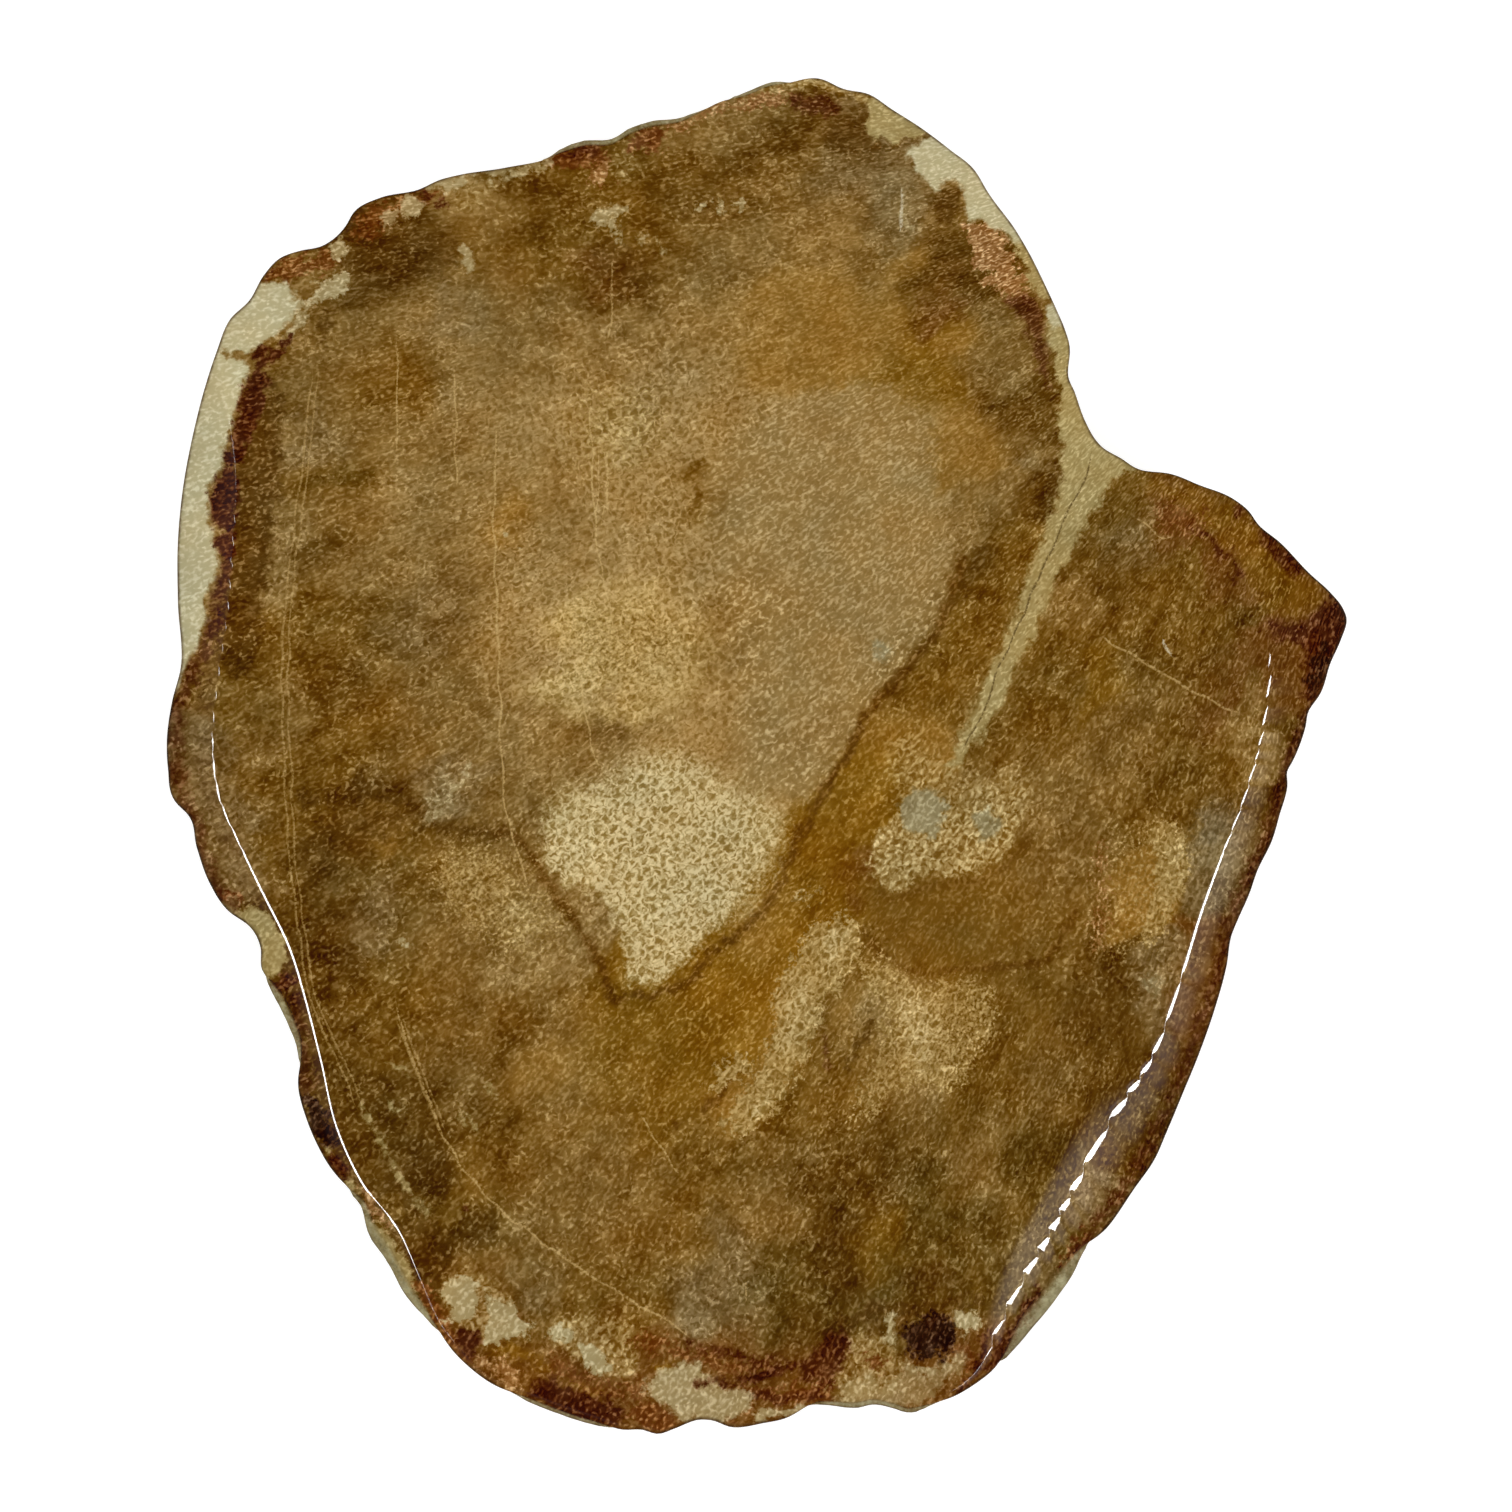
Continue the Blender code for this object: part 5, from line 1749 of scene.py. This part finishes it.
@dataclass(frozen=True)
class LineWork:
    """Lays one kind of thin line over a colour; widths are in millimetres.

    Attributes:
        wobble: How far a noise moves the line.
        core: Share of half the width that shows in full.
        feather: Width over which its edge and its ends fade.
        reach: Distances between which the mark runs out.
        gaps: Noise levels between which a broken line comes back.
    """

    wobble: float = 0.09
    core: float = 0.4
    feather: float = 0.05
    reach: tuple[float, float] = (0.5, 0.75)
    gaps: tuple[float, float] = (0.15, 0.6)

    def group(self) -> bpy.types.ShaderNodeTree:
        """Make the node group.

        The line shows where the distance to the side, less its offset, is under half the
        width, and a noise breaks it.

        Returns:
            The group: it takes and gives a colour.
        """
        inputs = {"Colour": "Color", "Mark": "Vector", "Line Colour": "Color", "Strength": "Float",
                  "Offset": "Float", "Broken": "Float", "Fleck": "Float"}
        bench, given = new_group("thin_line", inputs, {"Colour": "Color"})
        side, distance, half = bench.split(given["Mark"])
        wobble = bench.times(bench.less(given["Fleck"], 0.5), self.wobble)
        aside = bench.math("ABSOLUTE", bench.add(side, wobble))
        aside = bench.math("ABSOLUTE", bench.less(aside, given["Offset"]))
        edge = bench.step(aside, bench.times(half, self.core), bench.add(half, self.feather))
        near = bench.rest(bench.step(distance, *self.reach))
        there = bench.step(half, 0.0, self.feather)
        whole = bench.mix(given["Broken"], 1.0, bench.step(given["Fleck"], *self.gaps))
        cover = bench.times(bench.times(bench.rest(edge), near), bench.times(there, whole))
        cover = bench.times(cover, given["Strength"])
        return bench.close({"Colour": bench.blend(cover, given["Colour"], given["Line Colour"])})


@dataclass(frozen=True)
class StoneFinish:
    """The one finish of the slab: polished wood pattern, raw wall and sawn back.

    Attributes:
        wall_dark: Screen colour in the hollows of the raw wall.
        wall_light: Screen colour of its crust.
        crust: Share of the crust on the wall where it is thinnest and thickest.
        mottle: Colour steps from the darkest to the lightest of the small mottling.
        cloud: The same for the large clouds.
        hue: The same for the drift between rust and olive.
        fleck: Colour steps by which the scattered flecks are paler.
        fleck_level: Level of the ground between the flecks, under a half to keep the mean.
        clusters: Share of round pores in the clusters of the most lively ground.
        cluster_levels: Cluster noise between which the pores start and are full.
        fleck_levels: Cluster noise between which the flecks start and are dense.
        edge_stain_and_shade_start: Distance from the silhouette where its thin dark line is full; the
            line is painted shade of the edge together with the stone's dark red-brown rim.
        edge_stain_and_shade_width: Distance where it has run out, in millimetres.
        edge_stain_and_shade: Strength of that painted shade and dark rim where it shows least and most.
        edge_stain_and_shade_colour: Its screen colour.
        polish: Roughness of the polish.
        stone: Roughness of the stone under it.
        raw: Roughness of the raw wall and the sawn back.
        dulling: How far a dull stain takes the polish away.
        crumb_scale: Scale of the crumbs on the raw wall, per millimetre.
        crumb_height: Their height in metres.
        crumb_strength: How strongly they show.
        darkest: Least brightness of any colour before it is turned into light.
        screen_power: Power that turns screen brightness into light.
    """

    wall_dark: Colour = (124, 112, 78)
    wall_light: Colour = (192, 185, 146)
    crust: tuple[float, float] = (0.6, 0.95)
    mottle: Colour = (36.0, 36.0, 32.0)
    cloud: Colour = (9.0, 8.0, 5.0)
    hue: Colour = (6.0, -3.0, -10.0)
    fleck: Colour = (40.0, 40.0, 35.0)
    fleck_level: float = 0.38
    clusters: float = 0.75
    cluster_levels: tuple[float, float] = (0.5, 0.85)
    fleck_levels: tuple[float, float] = (0.2, 0.8)
    edge_stain_and_shade_start: float = 0.04
    edge_stain_and_shade_width: float = 0.32
    edge_stain_and_shade: tuple[float, float] = (0.25, 0.85)
    edge_stain_and_shade_colour: Colour = (62, 44, 26)
    polish: float = 0.04
    stone: float = 0.42
    raw: float = 0.85
    dulling: float = 0.85
    crumb_scale: float = 2.2
    crumb_height: float = 0.0003
    crumb_strength: float = 0.6
    darkest: Colour = (0.01, 0.01, 0.01)
    screen_power: float = 2.2

    def stained(self, bench: Bench, grain: Outputs, lively: Socket, pores: Socket) -> dict[str, Feed]:
        """Lay all stains over the ground, in the order of their tones.

        Args:
            bench: Where to work.
            grain: Outputs of the grain.
            lively: How lively the ground is.
            pores: Share of round pores in the ground.

        Returns:
            The look with all stains.
        """
        clusters = bench.times(bench.step(grain["Cluster"], *self.cluster_levels),
                               bench.times(lively, self.clusters))
        look = {"Dark": bench.read("ground_dark", "Color"), "Light": bench.read("ground_light", "Color"),
                "Cells": bench.line(pores, 1.05, clusters, clamp=True), "Plain": 0.0, "Dull": 0.0}
        group = StainWork().group()
        for tone in Tone:
            stain = tone.value
            mark = bench.read(f"stain_{tone.name.lower()}")
            laid = bench.group(
                group, **look, Mark=mark, Edge=grain["Edge"], Fleck=grain["Grit"],
                Stain_Dark=screen(stain.dark), Stain_Light=screen(stain.light),
                Stain_Cells=stain.cells, Stain_Plain=stain.plain, Stain_Dull=stain.dull,
                Ragged=stain.ragged, Speckle=stain.speckle)
            look = {name: laid[name] for name in LOOK}
        return look

    def wood(self, bench: Bench, grain: Outputs, look: dict[str, Feed], lively: Socket) -> Socket:
        """Colour of the polished wood: pores and rays, mottling, clouds, flecks and thin lines.

        Args:
            bench: Where to work.
            grain: Outputs of the grain.
            look: The look with all stains.
            lively: How lively the ground is.

        Returns:
            The colour on the even scale.
        """
        lively = bench.times(lively, bench.rest(look["Plain"]))
        pattern = bench.mix(look["Cells"], grain["Streak"], grain["Net"])
        colour = bench.blend(pattern, look["Dark"], look["Light"])
        soft = bench.mix(lively, 0.5, grain["Mottle"])
        for value, steps in ((soft, self.mottle), (grain["Cloud"], self.cloud), (grain["Hue"], self.hue)):
            colour = bench.shift(colour, value, steps)
        dense = bench.line(bench.step(grain["Cluster"], *self.fleck_levels), 0.85, 0.15)
        dense = bench.times(dense, bench.line(lively, 0.9, 0.1))
        colour = bench.shift(colour, bench.line(grain["Fleck"], dense, self.fleck_level), self.fleck)
        group = LineWork().group()
        for kind in LineKind:
            line_colour, strength, offset, broken = kind.value
            mark = bench.read(f"line_{kind.name.lower()}")
            colour = bench.group(
                group, Colour=colour, Mark=mark, Line_Colour=screen(line_colour), Strength=strength,
                Offset=offset, Broken=broken, Fleck=grain["Grit"])["Colour"]
        return colour

    def material(self) -> bpy.types.Material:
        """Build the material.

        Returns:
            The material, with stains and lines read from the mesh's attributes.
        """
        material = bpy.data.materials.new("petrified_wood_polished")
        material.use_nodes = True
        material.node_tree.nodes.clear()
        bench = Bench(material.node_tree)
        here = bench.place("ShaderNodeTexCoord").outputs["Object"]
        scaled = bench.place("ShaderNodeVectorMath", {0: here, "Scale": 1.0 / MM}, operation="SCALE")
        place = scaled.outputs[0]
        grain = bench.group(Grain().group(), Place=place)
        wall, back, lively = bench.split(bench.read("where"))
        inside, _, pores = bench.split(bench.read("margin"))
        look = self.stained(bench, grain, lively, pores)
        colour = self.wood(bench, grain, look, lively)
        crust = bench.blend(grain["Edge"], screen(self.wall_dark), screen(self.wall_light))
        crusted = bench.times(bench.times(wall, bench.rest(back)), bench.mix(grain["Grit"], *self.crust))
        colour = bench.blend(crusted, colour, crust)
        # Thin dark line along the silhouette: painted shade of the edge, together with the stone's dark
        # red-brown rim.
        edge_stain_and_shade = bench.rest(bench.step(inside, self.edge_stain_and_shade_start, self.edge_stain_and_shade_width))
        edge_stain_and_shade = bench.times(edge_stain_and_shade, bench.mix(grain["Edge"], *self.edge_stain_and_shade))
        colour = bench.blend(edge_stain_and_shade, colour, screen(self.edge_stain_and_shade_colour))
        held = bench.place("ShaderNodeVectorMath", {0: colour, 1: self.darkest}, operation="MAXIMUM")
        lit = bench.place("ShaderNodeGamma", {"Color": held.outputs[0], "Gamma": self.screen_power})
        crumbs = bench.times(bench.noise(place, self.crumb_scale, 4.0, 0.65), wall)
        bump = bench.place("ShaderNodeBump", {"Strength": self.crumb_strength,
                                              "Distance": self.crumb_height, "Height": crumbs})
        surface = bench.place("ShaderNodeBsdfPrincipled", {
            "Base Color": lit.outputs[0],
            "Roughness": bench.mix(wall, self.stone, self.raw),
            "Coat Weight": bench.line(look["Dull"], -self.dulling, bench.rest(wall), clamp=True),
            "Coat Roughness": self.polish,
            "Specular IOR Level": 0.0,
            "Normal": bump.outputs["Normal"],
        })
        bench.place("ShaderNodeOutputMaterial", {"Surface": surface.outputs[0]})
        return material


@dataclass
class PetrifiedWoodSlab:
    """The whole slab: mesh, paint and finish, standing for the solid.

    Attributes:
        name: Name of the piece.
        finish: Its finish.
    """

    name: str = "stone_slab"
    finish: StoneFinish = field(default_factory=StoneFinish)

    def build(self) -> bpy.types.Object:
        """Build, paint and dress the slab.

        Returns:
            The piece, riding on the only body and replacing the solid.
        """
        low, high = (np.array(corner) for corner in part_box(NODE_NAME))
        form = SlabMesh(low, high)
        slab = form.make(self.name)
        WoodPaint(form).lay(slab.data)
        slab.data.materials.append(self.finish.material())
        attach(slab, BODY_NAME)
        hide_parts(NODE_NAME)
        triangles = sum(len(face) - 2 for face in form.faces)
        logger.info("%s: %d points, %d triangles", self.name, len(form.places), triangles)
        return slab


def pointing(azimuth: float, zenith: float) -> tuple[float, float, float]:
    """Unit vector from the slab for an azimuth and an angle from straight up, in degrees."""
    turn, fall = math.radians(azimuth), math.radians(zenith)
    return math.sin(fall) * math.cos(turn), math.sin(fall) * math.sin(turn), math.cos(fall)


@dataclass(frozen=True)
class LampSpec:
    """One lamp of the studio, aimed at the slab.

    Attributes:
        name: Name of the lamp.
        azimuth: Direction in degrees, counted from +X towards +Y.
        zenith: Angle from straight up, in degrees.
        distance: Distance from the slab.
        width: Size across, sideways round the slab.
        depth: Size up and down.
        radiance: Brightness of its face.
        lights: Whether it lights matt surfaces.
        mirrored: Whether it shows in polished ones.
    """

    name: str
    azimuth: float
    zenith: float
    distance: float
    width: float
    depth: float
    radiance: float
    lights: bool = True
    mirrored: bool = True

    def make(self) -> bpy.types.Object:
        """Put the lamp into the scene.

        Returns:
            The lamp, unseen by the camera itself.
        """
        data = bpy.data.lights.new(self.name, "AREA")
        data.shape = "RECTANGLE"
        data.size, data.size_y = self.width, self.depth
        data.energy = math.pi * self.width * self.depth * self.radiance
        lamp = bpy.data.objects.new(self.name, data)
        lamp.location = [self.distance * part for part in pointing(self.azimuth, self.zenith)]
        lamp.rotation_euler = (math.radians(self.zenith), 0.0, math.radians(self.azimuth + 90.0))
        lamp.visible_camera = False
        lamp.visible_diffuse = self.lights
        lamp.visible_glossy = self.mirrored
        bpy.context.scene.collection.objects.link(lamp)
        return lamp


@dataclass(frozen=True)
class Glow:
    """Soft glow of the room on one side.

    Attributes:
        east: How far it lies towards +X, from -1 to 1.
        north: How far it lies towards +Y.
        low: Cosine of the sideways turn from it at which it starts.
        high: Cosine at which it is full.
        strength: Its brightness.
    """

    east: float
    north: float
    low: float
    high: float
    strength: float

    def shade(self, bench: Bench, east: Socket, north: Socket, level: Socket) -> Socket:
        """Brightness of the glow in each direction of the room.

        Args:
            bench: Where to work.
            east: Part of the direction along +X.
            north: Part along +Y.
            level: Length of both together.

        Returns:
            The brightness.
        """
        toward = bench.line(north, self.north, bench.times(east, self.east))
        side = bench.math("DIVIDE", toward, bench.math("MAXIMUM", level, 0.001))
        return bench.times(bench.step(side, self.low, self.high), self.strength)


@dataclass(frozen=True)
class Studio:
    """Plain pale floor, soft light and the camera straight above.

    Attributes:
        camera_height: Height of the camera above the polished face.
        frame_width: Width of the slab's surroundings that fill the picture.
        frame_middle: Middle of the picture, in pixels of the view.
        sensor: Width of the camera's sensor in millimetres.
        floor_side: Side of the square floor.
        floor_drop: How far it lies under the slab's back.
        lamps: All lamps.
        dim: Brightness of the room overhead.
        glows: The narrow glow at the lower right and the faint broad one at the left.
        around: Brightness of the band in which they lie, all round.
        band_foot: Heights, as shares of straight up, between which the band starts.
        band_head: Heights between which it ends.
        veil: Brightness of the soft spot that gives the lower right its sheen.
        veil_azimuth: Direction of that spot in degrees.
        veil_zenith: Its angle from straight up.
        veil_reach: Angles from its middle where it ends and where it is full.
        tint: Colour of the room.
    """

    camera_height: float = 2.0
    frame_width: float = 0.126
    frame_middle: tuple[float, float] = (756.0, 756.0)
    sensor: float = 36.0
    floor_side: float = 3.0
    floor_drop: float = 0.0002
    lamps: tuple[LampSpec, ...] = (
        LampSpec("overhead_fill", 90.0, 0.0, 1.6, 2.2, 2.2, 2.32, True, False),
        LampSpec("right_strip", -31.5, 24.0, 1.3, 0.575, 0.26, 40.0, False, True),
        LampSpec("left_strip", 200.0, 24.0, 1.3, 0.41, 0.26, 40.0, False, True),
    )
    dim: float = 0.03
    glows: tuple[Glow, Glow] = (Glow(0.83, -0.56, 0.88, 0.995, 1.1), Glow(-0.93, -0.37, 0.1, 0.85, 0.2))
    around: float = 0.04
    band_foot: tuple[float, float] = (0.50, 0.84)
    band_head: tuple[float, float] = (0.88, 0.95)
    veil: float = 1.3
    veil_azimuth: float = -36.0
    veil_zenith: float = 9.5
    veil_reach: tuple[float, float] = (7.0, 0.5)
    tint: Colour = (1.0, 0.99, 0.97)

    def world(self) -> bpy.types.World:
        """Room round the slab: dark overhead, with a soft glow low on each side.

        Returns:
            The world, set on the scene.
        """
        world = bpy.data.worlds.new("studio_room")
        world.use_nodes = True
        world.node_tree.nodes.clear()
        bench = Bench(world.node_tree)
        east, north, up = bench.split(bench.place("ShaderNodeTexCoord").outputs["Generated"])
        level = bench.math("SQRT", bench.rest(bench.times(up, up)))
        right, left = (glow.shade(bench, east, north, level) for glow in self.glows)
        glow = bench.add(bench.add(right, left), self.around)
        band = bench.times(bench.step(up, *self.band_foot), bench.rest(bench.step(up, *self.band_head)))
        aim = pointing(self.veil_azimuth, self.veil_zenith)
        toward = bench.line(up, aim[2], bench.line(north, aim[1], bench.times(east, aim[0])))
        veil = bench.step(toward, *(math.cos(math.radians(angle)) for angle in self.veil_reach))
        strength = bench.line(glow, band, bench.line(veil, self.veil, self.dim))
        background = bench.place("ShaderNodeBackground", {"Color": self.tint, "Strength": strength})
        bench.place("ShaderNodeOutputWorld", {"Surface": background.outputs[0]})
        bpy.context.scene.world = world
        return world

    def floor(self) -> bpy.types.Object:
        """Plain pale floor, which glows a little so that soft shadows stay faint.

        Returns:
            The floor, declared as stage.
        """
        half = self.floor_side / 2.0
        corners = [(-half, -half, 0.0), (half, -half, 0.0), (half, half, 0.0), (-half, half, 0.0)]
        mesh = bpy.data.meshes.new("studio_floor")
        mesh.from_pydata(corners, [], [(0, 1, 2, 3)])
        floor = bpy.data.objects.new("studio_floor", mesh)
        bpy.context.scene.collection.objects.link(floor)
        floor.location.z = -self.floor_drop
        material = bpy.data.materials.new("floor_paper")
        material.use_nodes = True
        surface = material.node_tree.nodes["Principled BSDF"]
        settings = {"Base Color": (0.5, 0.5, 0.5, 1.0), "Roughness": 1.0, "Specular IOR Level": 0.0,
                    "Emission Color": (1.0, 1.0, 1.0, 1.0), "Emission Strength": 0.75}
        for name, value in settings.items():
            surface.inputs[name].default_value = value
        mesh.materials.append(material)
        floor.visible_glossy = False
        floor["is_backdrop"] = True
        return floor

    def camera(self, top: float) -> bpy.types.Object:
        """Camera straight above the middle of the slab.

        Args:
            top: Height of the polished face.

        Returns:
            The camera, set on the scene.
        """
        data = bpy.data.cameras.new("view_from_above")
        data.sensor_width = self.sensor
        data.lens = self.sensor * self.camera_height / self.frame_width
        data.clip_end = 20.0
        camera = bpy.data.objects.new("view_from_above", data)
        middle = PLAN.metres((self.frame_middle,))[0]
        camera.location = (middle[0], middle[1], top + self.camera_height)
        bpy.context.scene.collection.objects.link(camera)
        bpy.context.scene.camera = camera
        return camera

    def build(self, top: float) -> None:
        """Set up the room, floor, lamps and camera.

        Args:
            top: Height of the polished face.
        """
        bpy.context.scene.view_settings.view_transform = "Standard"
        self.world()
        self.floor()
        for spec in self.lamps:
            spec.make()
            logger.info("%s placed", spec.name)
        self.camera(top)
        logger.info("floor, room and camera placed")


def corners_of(box: tuple) -> list[list[float]]:
    """Two corners of a box as plain lists of numbers."""
    return [[float(number) for number in corner] for corner in box]


def main() -> None:
    logging.basicConfig(level=logging.INFO, format="%(message)s")
    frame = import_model()
    logger.info("frame loaded, %d node", len(frame["nodes"]))
    solid_box = corners_of(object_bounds())
    Studio().build(solid_box[1][2])
    PetrifiedWoodSlab().build()
    logger.info("boxes written")


if __name__ == "__main__":
    main()
